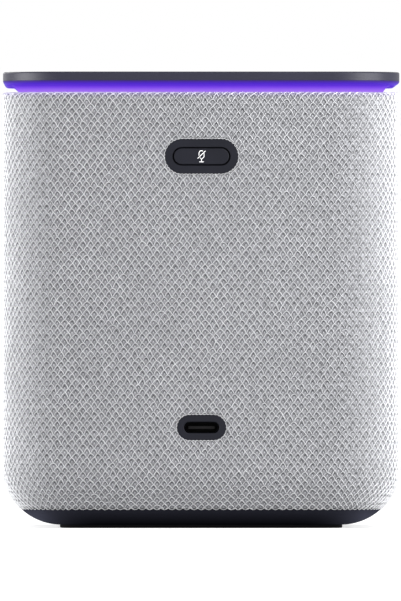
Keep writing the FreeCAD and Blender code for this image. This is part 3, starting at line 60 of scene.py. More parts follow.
# outer form of the cloth
CORNER_RADIUS = 17.0 * MM
BOWL_RADIUS = 15.0 * MM
SHOULDER_RADIUS = 0.7 * MM
FOLD_INSET = 5.1 * MM
SLEEVE_LOW, SLEEVE_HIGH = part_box("fabric_sleeve")
BODY_HALF = SLEEVE_HIGH.x
SEAM_Z = SLEEVE_LOW.z
TOP_Z = SLEEVE_HIGH.z
BOWL_CENTRE_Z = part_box("base_cover")[0].z + BOWL_RADIUS

STRAIGHT = 2 * (BODY_HALF - CORNER_RADIUS)
QUADRANT = STRAIGHT + CORNER_RADIUS * math.pi / 2
PERIMETER = 4 * QUADRANT
BOWL_ANGLE = math.asin((BOWL_CENTRE_Z - SEAM_Z) / BOWL_RADIUS)
BOWL_LENGTH = BOWL_RADIUS * BOWL_ANGLE
SIDE_LENGTH = TOP_Z - SHOULDER_RADIUS - BOWL_CENTRE_Z
SHOULDER_LENGTH = SHOULDER_RADIUS * math.pi / 2
FOLD_LENGTH = FOLD_INSET - SHOULDER_RADIUS
SIDE_END = BOWL_LENGTH + SIDE_LENGTH
SHOULDER_END = SIDE_END + SHOULDER_LENGTH
CLOTH_LENGTH = SHOULDER_END + FOLD_LENGTH

# knit
COLUMNS = 200
ROW = 2.36 * MM
GROUND_LIFT = -0.24 * MM
GROUND_BACK = -0.86 * MM
THREAD_HALF_WIDTH = 0.105 * MM
THREAD_CROWN = 0.05 * MM
THREAD_FOOT = -0.30 * MM
WEAVE_HEIGHT = 0.05 * MM
ARCH_ROUNDNESS = 0.85
STEP_PARTS = 3
THREAD_WANDER = 0.06
LAST_CROSSING = 0.55 * MM
HALF_ROWS = 95
THREADS_TOP = LAST_CROSSING + HALF_ROWS * ROW / 2
THREADS_LIMIT = SHOULDER_END + 3.5 * MM
STRANDS_PER_PIECE = 50
HEM_RADIUS = 0.06 * MM
HEM_LOOP = 0.95 * MM
HEM_DEPTH = 0.24 * MM
HEM_INNER_SHARE = 0.6
HEM_SINK = 0.12 * MM
HEM_RISE = 0.08 * MM
SEAM_LOOP_DEPTH = 0.55 * MM
SEAM_SINK = 0.05 * MM
SEAM_RISE = 0.06 * MM
HEM_SIDES = 6
HEM_LOOP_PARTS = 8
GROUND_ACROSS = 320
GROUND_UP = 98
SPARE_ROWS = 4

# height of the cloth's top edge that the ring lights
GLOW_HEIGHT = 1.6 * MM

# room round the cover glass
GLASS_GAP = 0.06 * MM

# icon on the mute button
ICON_STROKE = 0.15 * MM
ICON_PROUD = 0.03 * MM

# camera
CAMERA_DISTANCE = 4.6
CAMERA_YAW = math.radians(0.3)
VIEW_HEIGHT = 155.5 * MM
VIEW_CENTRE_Z = 58.4 * MM
SENSOR = 36.0

# soft boxes: place, width in metres and power in watts
LIGHTS = {
    "rear_left": ((0.49, 0.13, 0.10), 0.3, 4.3),
    "rear_right": ((-0.26, 0.16, 0.12), 0.2, 1.3),
    "rear_top": ((-0.17, 0.34, 0.33), 0.2, 0.72),
    "front_fill": ((0.30, -0.60, 0.35), 0.4, 2.0),
}


def opening_of(node, face, width, height, radius):
    """An opening in the cloth on the front (-1) or rear (1) face, centred on a node's box."""
    low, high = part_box(node)
    return {
        "face": face,
        "z": (low.z + high.z) / 2,
        "half_width": width / 2,
        "half_height": height / 2,
        "radius": radius,
    }


MUTE_HEIGHT = 9.05 * MM
PORT_HEIGHT = 6.64 * MM
OPENINGS = {
    "mute": opening_of("mute_bezel", 1, 18.95 * MM, MUTE_HEIGHT, MUTE_HEIGHT / 2),
    "port": opening_of("port_bezel", 1, 12.75 * MM, PORT_HEIGHT, PORT_HEIGHT / 2),
    "screen": opening_of("display_bezel", -1, 64.0 * MM, 82.0 * MM, 9.2 * MM),
}

# ------------------------------------------------------------------ cloth form


def cloth_profile(v):
    """Inset from the widest outline, height and upward tilt of the cloth, v metres from its seam."""
    below = BOWL_ANGLE - v / BOWL_RADIUS
    above = (v - SIDE_END) / SHOULDER_RADIUS
    bowl, side, shoulder = v < BOWL_LENGTH, v < SIDE_END, v < SHOULDER_END
    inset = np.select(
        [bowl, side, shoulder],
        [BOWL_RADIUS * (1 - np.cos(below)), 0 * v, SHOULDER_RADIUS * (1 - np.cos(above))],
        SHOULDER_RADIUS + v - SHOULDER_END,
    )
    height = np.select(
        [bowl, side, shoulder],
        [
            BOWL_CENTRE_Z - BOWL_RADIUS * np.sin(below),
            BOWL_CENTRE_Z + v - BOWL_LENGTH,
            TOP_Z - SHOULDER_RADIUS * (1 - np.sin(above)),
        ],
        TOP_Z,
    )
    tilt = np.select([bowl, side, shoulder], [-below, 0 * v, above], math.pi / 2)
    return inset, height, tilt


def cloth_point(u, v, lift):
    """Points and outward normals of the cloth, u columns round it and v metres up from its seam."""
    along = u / COLUMNS * PERIMETER + STRAIGHT / 2
    quadrant = np.floor(along / QUADRANT)
    along = along - quadrant * QUADRANT
    inset, height, tilt = cloth_profile(v)
    turn = np.clip(along - STRAIGHT, 0, None) / CORNER_RADIUS
    centre = STRAIGHT / 2
    reach = CORNER_RADIUS - inset
    x = np.minimum(along, STRAIGHT) - centre + reach * np.sin(turn)
    y = -centre - reach * np.cos(turn)
    angle = quadrant * math.pi / 2
    spun = [x * np.cos(angle) - y * np.sin(angle), x * np.sin(angle) + y * np.cos(angle)]
    facing = turn + angle
    normal = np.stack(
        [np.sin(facing) * np.cos(tilt), -np.cos(facing) * np.cos(tilt), np.sin(tilt)], axis=-1
    )
    point = np.stack([spun[0], spun[1], height], axis=-1)
    return point + normal * np.asarray(lift)[..., None], normal


def to_outline(opening, x, z):
    """Signed distance from an opening's outline, positive outside, and its nearest point."""
    core_x = opening["half_width"] - opening["radius"]
    core_z = opening["half_height"] - opening["radius"]
    away_x = np.abs(x) - core_x
    away_z = np.abs(z - opening["z"]) - core_z
    out_x, out_z = np.maximum(away_x, 0), np.maximum(away_z, 0)
    inner = np.minimum(np.maximum(away_x, away_z), 0)
    distance = np.hypot(out_x, out_z) + inner - opening["radius"]
    length = np.maximum(np.hypot(out_x, out_z), 1e-9)
    near_x = x - distance * np.sign(x) * out_x / length
    near_z = z - distance * np.sign(z - opening["z"]) * out_z / length
    return distance, near_x, near_z


def clear_of_openings(points):
    """Signed distance of each cloth point from the nearest opening, positive where there is cloth."""
    clear = np.full(points.shape[:-1], 1.0)
    for opening in OPENINGS.values():
        distance = to_outline(opening, points[..., 0], points[..., 2])[0]
        on_face = points[..., 1] * opening["face"] > BODY_HALF - CORNER_RADIUS / 2
        clear = np.where(on_face, np.minimum(clear, distance), clear)
    return clear


# ------------------------------------------------------------------ making pieces


def mesh_piece(name, points, faces, body, material):
    """A smooth mesh piece that rides on a body."""
    mesh = bpy.data.meshes.new(name)
    mesh.from_pydata(points, [], faces)
    mesh.validate()
    mesh.shade_smooth()
    mesh.materials.append(material)
    piece = bpy.data.objects.new(name, mesh)
    bpy.context.scene.collection.objects.link(piece)
    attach(piece, body)
    return piece


def grid_faces(across, up):
    """Quads of a grid that closes round its first direction, as indices into points[up][across]."""
    i, j = np.meshgrid(np.arange(across), np.arange(up - 1))
    following = (i + 1) % across
    low, high = j * across, (j + 1) * across
    corners = [low + i, low + following, high + following, high + i]
    return np.stack(corners, axis=-1).reshape(-1, 4), np.stack([i, j], axis=-1).reshape(-1, 2)


def closed_tube(centres, side, normal, radius, sides):
    """Points and quads of a tube along a closed line."""
    angles = np.arange(sides) * 2 * math.pi / sides
    rings = (
        centres[:, None, :]
        + radius * np.cos(angles)[None, :, None] * side[:, None, :]
        + radius * np.sin(angles)[None, :, None] * normal[:, None, :]
    )
    count = len(centres)
    i, j = np.meshgrid(np.arange(sides), np.arange(count))
    ahead, around = (j + 1) % count, (i + 1) % sides
    quads = np.stack(
        [j * sides + i, ahead * sides + i, ahead * sides + around, j * sides + around], axis=-1
    )
    return rings.reshape(-1, 3), quads.reshape(-1, 4)


# ------------------------------------------------------------------ material tools


class Value:
    """A number in a shader that can be added, multiplied and so on like a plain one."""

    def __init__(self, tree, socket):
        self.tree = tree
        self.socket = socket

    def math(self, operation, *others):
        node = self.tree.nodes.new("ShaderNodeMath")
        node.operation = operation
        for entry, value in zip(node.inputs, (self, *others)):
            if isinstance(value, Value):
                self.tree.links.new(value.socket, entry)
            else:
                entry.default_value = value
        return Value(self.tree, node.outputs[0])

    def __add__(self, other):
        return self.math("ADD", other)

    def __sub__(self, other):
        return self.math("SUBTRACT", other)

    def __mul__(self, other):
        return self.math("MULTIPLY", other)

    def __truediv__(self, other):
        return self.math("DIVIDE", other)

    def spot(self, width):
        """1 where this is 0, falling away to 0 over about that width."""
        scaled = self / width
        return (scaled * scaled * -1.0).math("EXPONENT")


class Surface:
    """A material under construction: its node tree and its Principled shader."""

    def __init__(self, name, color, roughness, **settings):
        self.material = bpy.data.materials.new(name)
        self.material.use_nodes = True
        self.tree = self.material.node_tree
        self.shader = self.tree.nodes["Principled BSDF"]
        self.color = color
        self.set("Base Color", (*color, 1.0))
        self.set("Roughness", roughness)
        for key, value in settings.items():
            self.set(key.replace("_", " ").title().replace("Ior", "IOR"), value)

    def set(self, name, value):
        self.shader.inputs[name].default_value = value

    def node(self, kind, **inputs):
        node = self.tree.nodes.new(kind)
        for key, value in inputs.items():
            entry = node.inputs[key.replace("_", " ").title()]
            if isinstance(value, bpy.types.NodeSocket):
                self.tree.links.new(value, entry)
            else:
                entry.default_value = value
        return node

    def place(self, stretch=(1, 1, 1)):
        """The piece's own coordinates in metres, stretched by a factor on each axis."""
        own = self.tree.nodes.new("ShaderNodeTexCoord").outputs["Object"]
        return self.node("ShaderNodeMapping", vector=own, scale=stretch).outputs[0]

    def noise(self, size, detail=3.0, stretch=(1, 1, 1)):
        """Cloudy noise from 0 to 1 whose blobs are about that size in metres."""
        place = self.place(stretch)
        node = self.node("ShaderNodeTexNoise", vector=place, scale=1 / size, detail=detail)
        return Value(self.tree, node.outputs["Fac"])

    def cells(self, size):
        """0 in the middle of each of many cells of about that size in metres, rising outward."""
        node = self.node("ShaderNodeTexVoronoi", vector=self.place(), scale=1 / size)
        return Value(self.tree, node.outputs["Distance"])

    def ramp(self, value, stops):
        """A colour for each value, from stops of (value, colour)."""
        node = self.tree.nodes.new("ShaderNodeValToRGB")
        elements = node.color_ramp.elements
        while len(elements) < len(stops):
            elements.new(0.5)
        for element, (position, color) in zip(elements, stops):
            element.position = position
            element.color = (*color, 1.0)
        self.tree.links.new(value.socket, node.inputs[0])
        return node.outputs[0]

    def tint(self, value, dark, light, low=0.3, high=0.7):
        """Base colour from dark to light times the material's own, as value goes from low to high."""
        stops = [(low, [c * dark for c in self.color]), (high, [c * light for c in self.color])]
        self.tree.links.new(self.ramp(value, stops), self.shader.inputs["Base Color"])

    def rough(self, value, low, high):
        """Roughness between low and high."""
        wanted = value * (high - low) + low
        self.tree.links.new(wanted.socket, self.shader.inputs["Roughness"])

    def bump(self, value, depth, strength=1.0):
        """Relief of that depth in metres where value goes from 0 to 1."""
        node = self.tree.nodes.new("ShaderNodeBump")
        node.inputs["Strength"].default_value = strength
        node.inputs["Distance"].default_value = depth
        self.tree.links.new(value.socket, node.inputs["Height"])
        self.tree.links.new(node.outputs[0], self.shader.inputs["Normal"])


# ------------------------------------------------------------------ materials


def moulded_plastic(name, color, roughness, grain=0.25 * MM, depth=0.006 * MM, **settings):
    """Moulded plastic with a fine spark-eroded grain and faint handling marks."""
    surface = Surface(name, color, roughness, **settings)
    grain_noise = surface.noise(grain, detail=2.0)
    marks = surface.noise(9 * MM, detail=4.0)
    surface.tint(marks * 0.6 + grain_noise * 0.4, 0.86, 1.14)
    surface.rough(marks * 0.5 + grain_noise * 0.5, roughness - 0.07, roughness + 0.09)
    surface.bump(grain_noise, depth)
    return surface.material


def soft_rubber(name, color, roughness=0.78):
    """Moulded rubber with a dusty, pebbled face."""
    surface = Surface(name, color, roughness, specular_ior_level=0.1)
    pebbles = surface.cells(0.5 * MM)
    dust = surface.noise(6 * MM, detail=5.0)
    surface.tint(dust, 0.75, 1.35)
    surface.rough(dust, roughness - 0.1, roughness + 0.12)
    surface.bump(pebbles, 0.02 * MM)
    return surface.material


def brushed_metal(name, color, roughness, stretch=(1, 14, 14)):
    """Rolled or turned metal with fine lines and a little tarnish."""
    surface = Surface(name, color, roughness, metallic=1.0)
    lines = surface.noise(0.9 * MM, detail=5.0, stretch=stretch)
    tarnish = surface.noise(7 * MM, detail=4.0)
    surface.tint(lines * 0.6 + tarnish * 0.4, 0.74, 1.12)
    surface.rough(lines, roughness - 0.1, roughness + 0.14)
    surface.bump(lines, 0.006 * MM)
    return surface.material


def circuit_board(name, color):
    """Solder mask over copper tracks, with tinned pads and vias."""
    surface = Surface(name, color, 0.38, coat_weight=0.3)
    tracks = surface.node("ShaderNodeTexBrick", vector=surface.place(), scale=1 / (6.5 * MM))
    tracks.inputs["Mortar Size"].default_value = 0.045
    tracks.inputs["Brick Width"].default_value = 0.7
    tracks.inputs["Row Height"].default_value = 0.19
    track = Value(surface.tree, tracks.outputs["Fac"])
    vias = surface.cells(2.6 * MM).math("LESS_THAN", 0.13)
    stops = [
        (0.0, [c * 0.8 for c in color]),
        (0.5, [c * 1.9 + 0.01 for c in color]),
        (1.0, (0.62, 0.56, 0.40)),
    ]
    pattern = (track * 0.5).math("MAXIMUM", vias)
    surface.tree.links.new(surface.ramp(pattern, stops), surface.shader.inputs["Base Color"])
    surface.rough(vias, 0.36, 0.26)
    surface.bump(pattern, 0.03 * MM)
    return surface.material


def chip_plastic(name, color):
    """Black moulding compound with a sand-blasted top."""
    surface = Surface(name, color, 0.55)
    sand = surface.noise(0.12 * MM, detail=2.0)
    surface.tint(surface.noise(4 * MM) * 0.5 + sand * 0.5, 0.7, 1.4)
    surface.rough(sand, 0.45, 0.65)
    surface.bump(sand, 0.01 * MM)
    return surface.material


def pressed_paper(name, color):
    """Pulp cone with fibres and a matte doping."""
    surface = Surface(name, color, 0.8)
    fibres = surface.noise(0.8 * MM, detail=8.0)
    surface.tint(fibres, 0.55, 1.7)
    surface.bump(fibres, 0.05 * MM)
    return surface.material


def woven_cloth(name, color, pitch):
    """Plain weave of two sets of threads."""
    surface = Surface(name, color, 0.85, sheen_weight=0.3)
    warp = surface.node("ShaderNodeTexWave", vector=surface.place(), scale=math.pi / 10 / pitch)
    weft = surface.node("ShaderNodeTexWave", vector=surface.place(), scale=math.pi / 10 / pitch)
    weft.bands_direction = "Z"
    weave = Value(surface.tree, warp.outputs["Fac"]) * Value(surface.tree, weft.outputs["Fac"])
    surface.tint(weave * 0.7 + surface.noise(3 * MM) * 0.3, 0.6, 1.25)
    surface.bump(weave, 0.06 * MM)
    return surface.material


def wound_copper(name, color):
    """Enamelled wire wound in close turns along Y."""
    surface = Surface(name, color, 0.32, metallic=1.0, coat_weight=0.4)
    pitch = math.pi / 10 / (0.2 * MM)
    turns = surface.node("ShaderNodeTexWave", vector=surface.place(), scale=pitch)
    turns.bands_direction = "Y"
    turn = Value(surface.tree, turns.outputs["Fac"])
    surface.tint(turn, 0.45, 1.2, 0.0, 1.0)
    surface.bump(turn, 0.04 * MM)
    return surface.material


def cast_ferrite(name, color):
    """Sintered ferrite, dark and slightly glittering."""
    surface = Surface(name, color, 0.6, metallic=0.35)
    specks = surface.cells(0.35 * MM)
    surface.tint(specks * 0.6 + surface.noise(5 * MM) * 0.4, 0.7, 1.5)
    surface.rough(specks, 0.45, 0.8)
    surface.bump(specks, 0.015 * MM)
    return surface.material


def coated_film(name, color):
    """Polyimide film over copper tracks."""
    surface = Surface(name, color, 0.3, coat_weight=0.5)
    pitch = math.pi / 10 / (0.8 * MM)
    tracks = surface.node("ShaderNodeTexWave", vector=surface.place(), scale=pitch)
    track = Value(surface.tree, tracks.outputs["Fac"])
    surface.tint(track, 0.7, 1.5, 0.35, 0.6)
    surface.rough(surface.noise(2 * MM), 0.24, 0.4)
    surface.bump(track, 0.02 * MM)
    return surface.material


def painted_grille(name, color):
    """Perforated sheet with powder paint."""
    surface = Surface(name, color, 0.55)
    paint = surface.noise(0.3 * MM, detail=2.0)
    surface.tint(paint * 0.5 + surface.noise(8 * MM) * 0.5, 0.8, 1.3)
    surface.rough(paint, 0.48, 0.64)
    surface.bump(paint, 0.015 * MM)
    return surface.material


def place_along(surface, axis):
    """The piece's own coordinate along an axis, in metres."""
    parts = surface.node("ShaderNodeSeparateXYZ", vector=surface.place())
    return Value(surface.tree, parts.outputs[axis])


def height_in(surface, low, high):
    """0 at height low and 1 at height high."""
    return (place_along(surface, "Z") - low) / (high - low)


# the base's painted shade at its foot, and the painted highlights at its left and right ends: where
# they start, their width and steepness, their lift, and how much of it they have at the foot
BASE_FOOT_PAINTED_SHADE = 0.25
BASE_END_HIGHLIGHT_START = 20 * MM
BASE_END_HIGHLIGHT_WIDTH = 22 * MM
BASE_END_HIGHLIGHT_POWER = 4.0
BASE_END_HIGHLIGHT_LIFT = 4.0
BASE_END_HIGHLIGHT_AT_FOOT = 1.3


def base_plastic(name, color):
    """Moulded plastic with painted shade darkening it towards the foot and painted highlights
    lightening its left and right ends.
    """
    surface = Surface(name, color, 0.6, specular_ior_level=0.0)
    grain = surface.noise(0.25 * MM, detail=2.0)
    # painted shade: the base's colour darkens towards its foot
    height = height_in(surface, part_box("base_cover")[0].z, SEAM_Z)
    # painted highlights: the base's colour lightens towards its left and right ends, as if side light
    # reflects there
    from_start = place_along(surface, "X").math("ABSOLUTE") - BASE_END_HIGHLIGHT_START
    end = (from_start / BASE_END_HIGHLIGHT_WIDTH).math("MAXIMUM", 0.0).math("MINIMUM", 1.0)
    end_highlight_steep = end.math("POWER", BASE_END_HIGHLIGHT_POWER)
    lift = end_highlight_steep * (height * -1.0 + BASE_END_HIGHLIGHT_AT_FOOT) * BASE_END_HIGHLIGHT_LIFT
    tone = height + (grain - 0.5) * 0.1 + lift
    most = 1 + BASE_END_HIGHLIGHT_LIFT
    surface.tint(tone / most, BASE_FOOT_PAINTED_SHADE, BASE_FOOT_PAINTED_SHADE + most, 0.0, 1.0)
    surface.rough(grain, 0.52, 0.68)
    surface.bump(grain, 0.006 * MM)
    return surface.material


# the ring's colours from the cloth up to its top edge
RING_STOPS = [
    (0.00, (0.72, 0.50, 1.00)),
    (0.06, (0.37, 0.18, 0.88)),
    (0.25, (0.29, 0.12, 0.86)),
    (0.42, (0.19, 0.055, 0.80)),
    (0.58, (0.105, 0.026, 0.66)),
    (0.75, (0.062, 0.011, 0.54)),
    (0.88, (0.046, 0.011, 0.31)),
    (1.00, (0.034, 0.012, 0.12)),
]


def lit_acrylic(name, color):
    """Frosted light guide, brightest where its cove meets the cloth."""
    surface = Surface(name, color, 0.5, specular_ior_level=0.05)
    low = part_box("fabric_sleeve")[1].z
    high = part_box("light_guide")[1].z
    frost = surface.noise(1.2 * MM, detail=3.0)
    height = height_in(surface, low, high)
    lit = surface.ramp(height + (frost - 0.5) * 0.06, RING_STOPS)
    surface.tree.links.new(lit, surface.shader.inputs["Emission Color"])
    surface.set("Emission Strength", 1.0)
    surface.tint(frost, 0.8, 1.2)
    surface.rough(frost, 0.42, 0.58)
    surface.bump(frost, 0.01 * MM)
    return surface.material


def screen_glass(name, color):
    """Clear cover glass with faint wipe marks."""
    surface = Surface(name, color, 0.0, transmission_weight=1.0, ior=1.3)
    wipes = surface.noise(14 * MM, detail=2.0, stretch=(1, 1, 3))
    surface.rough(wipes, 0.0, 0.02)
    surface.tint(wipes, 0.97, 1.0)
    return surface.material


def screen_panel(name, color):
    """Lit panel with a plain dusk gradient of soft bands."""
    surface = Surface(name, color, 0.2, specular_ior_level=0.0)
    low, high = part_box("lcd_panel")
    bands = surface.noise(46 * MM, detail=1.0, stretch=(0.5, 1, 1.4))
    height = height_in(surface, low.z, high.z)
    stops = [
        (0.05, (0.010, 0.008, 0.040)),
        (0.35, (0.040, 0.020, 0.140)),
        (0.55, (0.130, 0.045, 0.280)),
        (0.72, (0.260, 0.110, 0.340)),
        (0.95, (0.070, 0.080, 0.260)),
    ]
    lit = surface.ramp(height * 0.55 + bands * 0.55, stops)
    surface.tree.links.new(lit, surface.shader.inputs["Emission Color"])
    surface.set("Emission Strength", 0.8)
    surface.tint(bands, 0.8, 1.2)
    return surface.material


def knit_pattern(surface):
    """Place across and up from the middle of the knit's cell, in columns and rows, and the chart."""
    chart = surface.tree.nodes.new("ShaderNodeUVMap")
    chart.uv_map = "knit"
    parts = surface.node("ShaderNodeSeparateXYZ", vector=chart.outputs[0])
    u, v = Value(surface.tree, parts.outputs["X"]), Value(surface.tree, parts.outputs["Y"])
    first = [(w + 0.5).math("FRACT") - 0.5 for w in (u, v)]
    second = [w.math("FRACT") - 0.5 for w in (u, v)]
    reach = first[0].math("ABSOLUTE") + first[1].math("ABSOLUTE")
    other = reach.math("GREATER_THAN", 0.5)
    across, up = [a + (b - a) * other for a, b in zip(first, second)]
    return across, up, chart.outputs[0]


def glow(surface):
    """Light from the ring that falls on the top edge of the cloth."""
    height = height_in(surface, TOP_Z - GLOW_HEIGHT, TOP_Z)
    stops = [
        (0.0, (0, 0, 0)),
        (0.5, (0.013, 0.003, 0.045)),
        (1.0, (0.045, 0.01, 0.17)),
    ]
    spill = surface.ramp(height, stops)
    surface.tree.links.new(spill, surface.shader.inputs["Emission Color"])
    surface.set("Emission Strength", 1.0)


def knit_ground(name, color):
    """The cloth between the light threads, each cell with a light stitch, a painted shadow under its
    roof and a notch.
    """
    surface = Surface(name, color, 0.92, specular_ior_level=0.05)
    across, up, chart = knit_pattern(surface)
    roof_up, roof_slope, stitch_up, notch_down = 0.31, 1.2, 0.10, 0.32
    # painted shadow: a dark band just under each cell's arched roof, where the arch would shade the
    # ground
    below_roof = up + across.math("ABSOLUTE") * roof_slope - roof_up
    painted_roof_shadow = across.spot(0.24) * below_roof.spot(0.09)
    stitch = across.spot(0.09) * (up - stitch_up).spot(0.09)
    notch = across.spot(0.07) * (up + notch_down).spot(0.10)
    uneven = surface.node("ShaderNodeTexNoise", vector=chart, scale=1.7, detail=3.0)
    wander = Value(surface.tree, uneven.outputs["Fac"])
    tone = stitch * 0.50 - painted_roof_shadow * 0.56 - notch * 0.42 + 0.52 + (wander - 0.5) * 0.8
    stops = [
        (0.0, [c * 0.2 for c in color]),
        (0.5, color),
        (1.0, [min(1.0, c * 2.1) for c in color]),
    ]
    surface.tree.links.new(surface.ramp(tone, stops), surface.shader.inputs["Base Color"])
    surface.bump(tone, 0.16 * MM, strength=0.7)
    glow(surface)
    return surface.material


def knit_thread(name, color):
    """The raised light threads: twisted yarn with slightly uneven tone."""
    surface = Surface(name, color, 0.8, specular_ior_level=0.05)
    uneven = surface.noise(1.1 * MM, detail=4.0)
    patches = surface.noise(12 * MM, detail=2.0)
    surface.tint(uneven * 0.75 + patches * 0.25, 0.78, 1.12)
    surface.rough(uneven, 0.65, 0.9)
    surface.bump(surface.noise(0.16 * MM, detail=2.0, stretch=(1, 1, 0.5)), 0.03 * MM)
    glow(surface)
    return surface.material


def printed_white(name, color):
    """Pad-printed ink."""
    surface = Surface(name, color, 0.5)
    ink = surface.noise(0.3 * MM, detail=3.0)
    surface.tint(ink, 0.92, 1.05)
    surface.rough(ink, 0.42, 0.6)
    return surface.material


MATERIALS = {
    "shell_plastic": moulded_plastic(
        "shell_plastic", (0.009, 0.009, 0.020), 0.48, specular_ior_level=0.31
    ),
    "base_plastic": base_plastic("base_plastic", (0.0095, 0.0099, 0.0140)),
    "housing_plastic": moulded_plastic(
        "housing_plastic", (0.030, 0.030, 0.033), 0.55, grain=0.4 * MM
    ),
    "lamp_acrylic": lit_acrylic("lamp_acrylic", (0.008, 0.005, 0.03)),
    "foot_rubber": soft_rubber("foot_rubber", (0.002, 0.002, 0.0025)),
    "cover_glass": screen_glass("cover_glass", (0.95, 0.95, 0.96)),
    "screen_panel": screen_panel("screen_panel", (0.010, 0.010, 0.014)),
    "frame_steel": brushed_metal("frame_steel", (0.56, 0.56, 0.58), 0.38),
    "screw_steel": brushed_metal("screw_steel", (0.30, 0.30, 0.31), 0.34, stretch=(3, 3, 3)),
    "socket_steel": brushed_metal("socket_steel", (0.004, 0.004, 0.005), 0.36, stretch=(8, 1, 8)),
    "circuit_board": circuit_board("circuit_board", (0.012, 0.070, 0.034)),
    "chip_plastic": chip_plastic("chip_plastic", (0.020, 0.020, 0.021)),
    "connector_plastic": moulded_plastic("connector_plastic", (0.72, 0.69, 0.60), 0.5),
    "tongue_plastic": moulded_plastic(
        "tongue_plastic", (0.006, 0.0055, 0.006), 0.5, specular_ior_level=0.12
    ),
    "heat_sink_aluminium": brushed_metal(
        "heat_sink_aluminium", (0.70, 0.70, 0.72), 0.36, stretch=(14, 14, 1)
    ),
    "brass": brushed_metal("brass", (0.78, 0.58, 0.26), 0.3, stretch=(4, 1, 4)),
    "gasket_rubber": soft_rubber("gasket_rubber", (0.022, 0.022, 0.022)),
    "grille_metal": painted_grille("grille_metal", (0.030, 0.030, 0.031)),
    "magnet_ferrite": cast_ferrite("magnet_ferrite", (0.060, 0.060, 0.065)),
    "cone_paper": pressed_paper("cone_paper", (0.045, 0.045, 0.047)),
    "spider_cloth": woven_cloth("spider_cloth", (0.52, 0.40, 0.20), 0.8 * MM),
    "coil_copper": wound_copper("coil_copper", (0.72, 0.33, 0.13)),
    "lead_jacket": soft_rubber("lead_jacket", (0.018, 0.018, 0.019), 0.6),
    "ribbon_film": coated_film("ribbon_film", (0.42, 0.20, 0.05)),
}
INSERT_PLASTIC = moulded_plastic(
    "insert_plastic", (0.0070, 0.0074, 0.0115), 0.5, specular_ior_level=0.12
)
GROUND_CLOTH = knit_ground("knit_ground", (0.196, 0.198, 0.209))
THREAD_CLOTH = knit_thread("knit_thread", (0.54, 0.543, 0.560))
WHITE_INK = printed_white("white_ink", (0.86, 0.86, 0.86))


def dress_cad_nodes():
    """Gives every CAD node its material slot's look, but for the sleeve, which the cloth replaces."""
    inserts = dict.fromkeys(("mute_bezel", "mute_button", "port_bezel"), INSERT_PLASTIC)
    for row in frame["record"]["subparts"]:
        look = inserts.get(row["node"], MATERIALS.get(row["material_slot"]))
        if look:
            node = frame["nodes"][row["node"]]
            node.data.materials.clear()
            node.data.materials.append(look)


# ------------------------------------------------------------------ cloth


def snap_to_openings(points):
    """Moves the grid's points inside an opening onto its outline, and says which those are."""
    inside = clear_of_openings(points) < 0
    for opening in OPENINGS.values():
        distance, near_x, near_z = to_outline(opening, points[..., 0], points[..., 2])
        on_face = points[..., 1] * opening["face"] > BODY_HALF - CORNER_RADIUS / 2
        move = inside & on_face & (distance < 0)
        points[..., 0] = np.where(move, near_x, points[..., 0])
        points[..., 2] = np.where(move, near_z, points[..., 2])
    return inside


def make_ground():
    """The thin cloth itself, with its openings, closed all round by its cut edges."""
    u = np.arange(GROUND_ACROSS) * COLUMNS / GROUND_ACROSS
    v = np.linspace(0, CLOTH_LENGTH, GROUND_UP)
    u_grid, v_grid = np.meshgrid(u, v)
    outer, normal = cloth_point(u_grid, v_grid, np.full(u_grid.shape, GROUND_LIFT))
    inside = snap_to_openings(outer).ravel()
    outer = outer.reshape(-1, 3)
    inner = outer + normal.reshape(-1, 3) * (GROUND_BACK - GROUND_LIFT)
    faces, cells = grid_faces(GROUND_ACROSS, GROUND_UP)
    kept = ~inside[faces].all(axis=1)
    faces, cells = faces[kept], cells[kept]
    used = np.unique(faces)
    renumber = np.full(len(outer), -1)
    renumber[used] = np.arange(len(used))
    faces = renumber[faces]
    count = len(used)
    edges = np.concatenate([faces[:, [k, (k + 1) % 4]] for k in range(4)])
    keys = {(a, b) for a, b in edges.tolist()}
    rim = [(b, a, a + count, b + count) for a, b in keys if (b, a) not in keys]
    points = np.concatenate([outer[used], inner[used]])
    all_faces = faces.tolist() + (faces[:, ::-1] + count).tolist() + sorted(rim)
    piece = mesh_piece("knit_cloth", points.tolist(), all_faces, "case", GROUND_CLOTH)
    chart = piece.data.uv_layers.new(name="knit")
    column = cells[:, 0, None] + np.array([0, 1, 1, 0])
    line = cells[:, 1, None] + np.array([0, 0, 1, 1])
    across = column * COLUMNS / GROUND_ACROSS
    up = (line * CLOTH_LENGTH / (GROUND_UP - 1) - LAST_CROSSING) / ROW
    outer_uv = np.stack([across, up], axis=-1)
    rim_uv = np.zeros((len(rim), 4, 2))
    charted = np.concatenate([outer_uv, outer_uv[:, ::-1], rim_uv]).astype(np.float32)
    chart.data.foreach_set("uv", charted.ravel())
    return piece


def crossing_index(strand, step, direction):
    """Which crossing of its row a strand passes, after that many half cells."""
    return (strand + step // 2 if direction > 0 else strand - (step + 1) // 2) % COLUMNS


def strand_lines(direction, wander):
    """Every strand that runs down to one side: its columns, its heights and how high it weaves."""
    steps = int(math.ceil(2 * THREADS_TOP / ROW)) + 1
    parts = np.arange(steps * STEP_PARTS + 1)
    step, share = parts // STEP_PARTS, (parts % STEP_PARTS) / STEP_PARTS
    arch = (1 - ARCH_ROUNDNESS) * share + ARCH_ROUNDNESS * share**2
    strand = np.arange(COLUMNS)[:, None]
    here = wander[step, crossing_index(strand, step, direction)]
    there = wander[step + 1, crossing_index(strand, step + 1, direction)]
    drift = here * (1 - share)[None, :, None] + there * share[None, :, None]
    u = strand + direction * (step + share) / 2 + drift[..., 0]
    v = THREADS_TOP - ROW * ((step + arch) / 2 + drift[..., 1])
    over = np.where(step % 2 == 0, 1, -1) * direction * np.cos(math.pi * share)
    return u, v, np.broadcast_to(over, u.shape)


def cut_runs(keep):
    """First and last index of each unbroken run of kept points that is long enough to be a thread."""
    marks = np.flatnonzero(np.diff(np.concatenate([[0], keep.astype(int), [0]])))
    return [(a, b) for a, b in zip(marks[::2], marks[1::2]) if b - a > STEP_PARTS // 2 + 1]


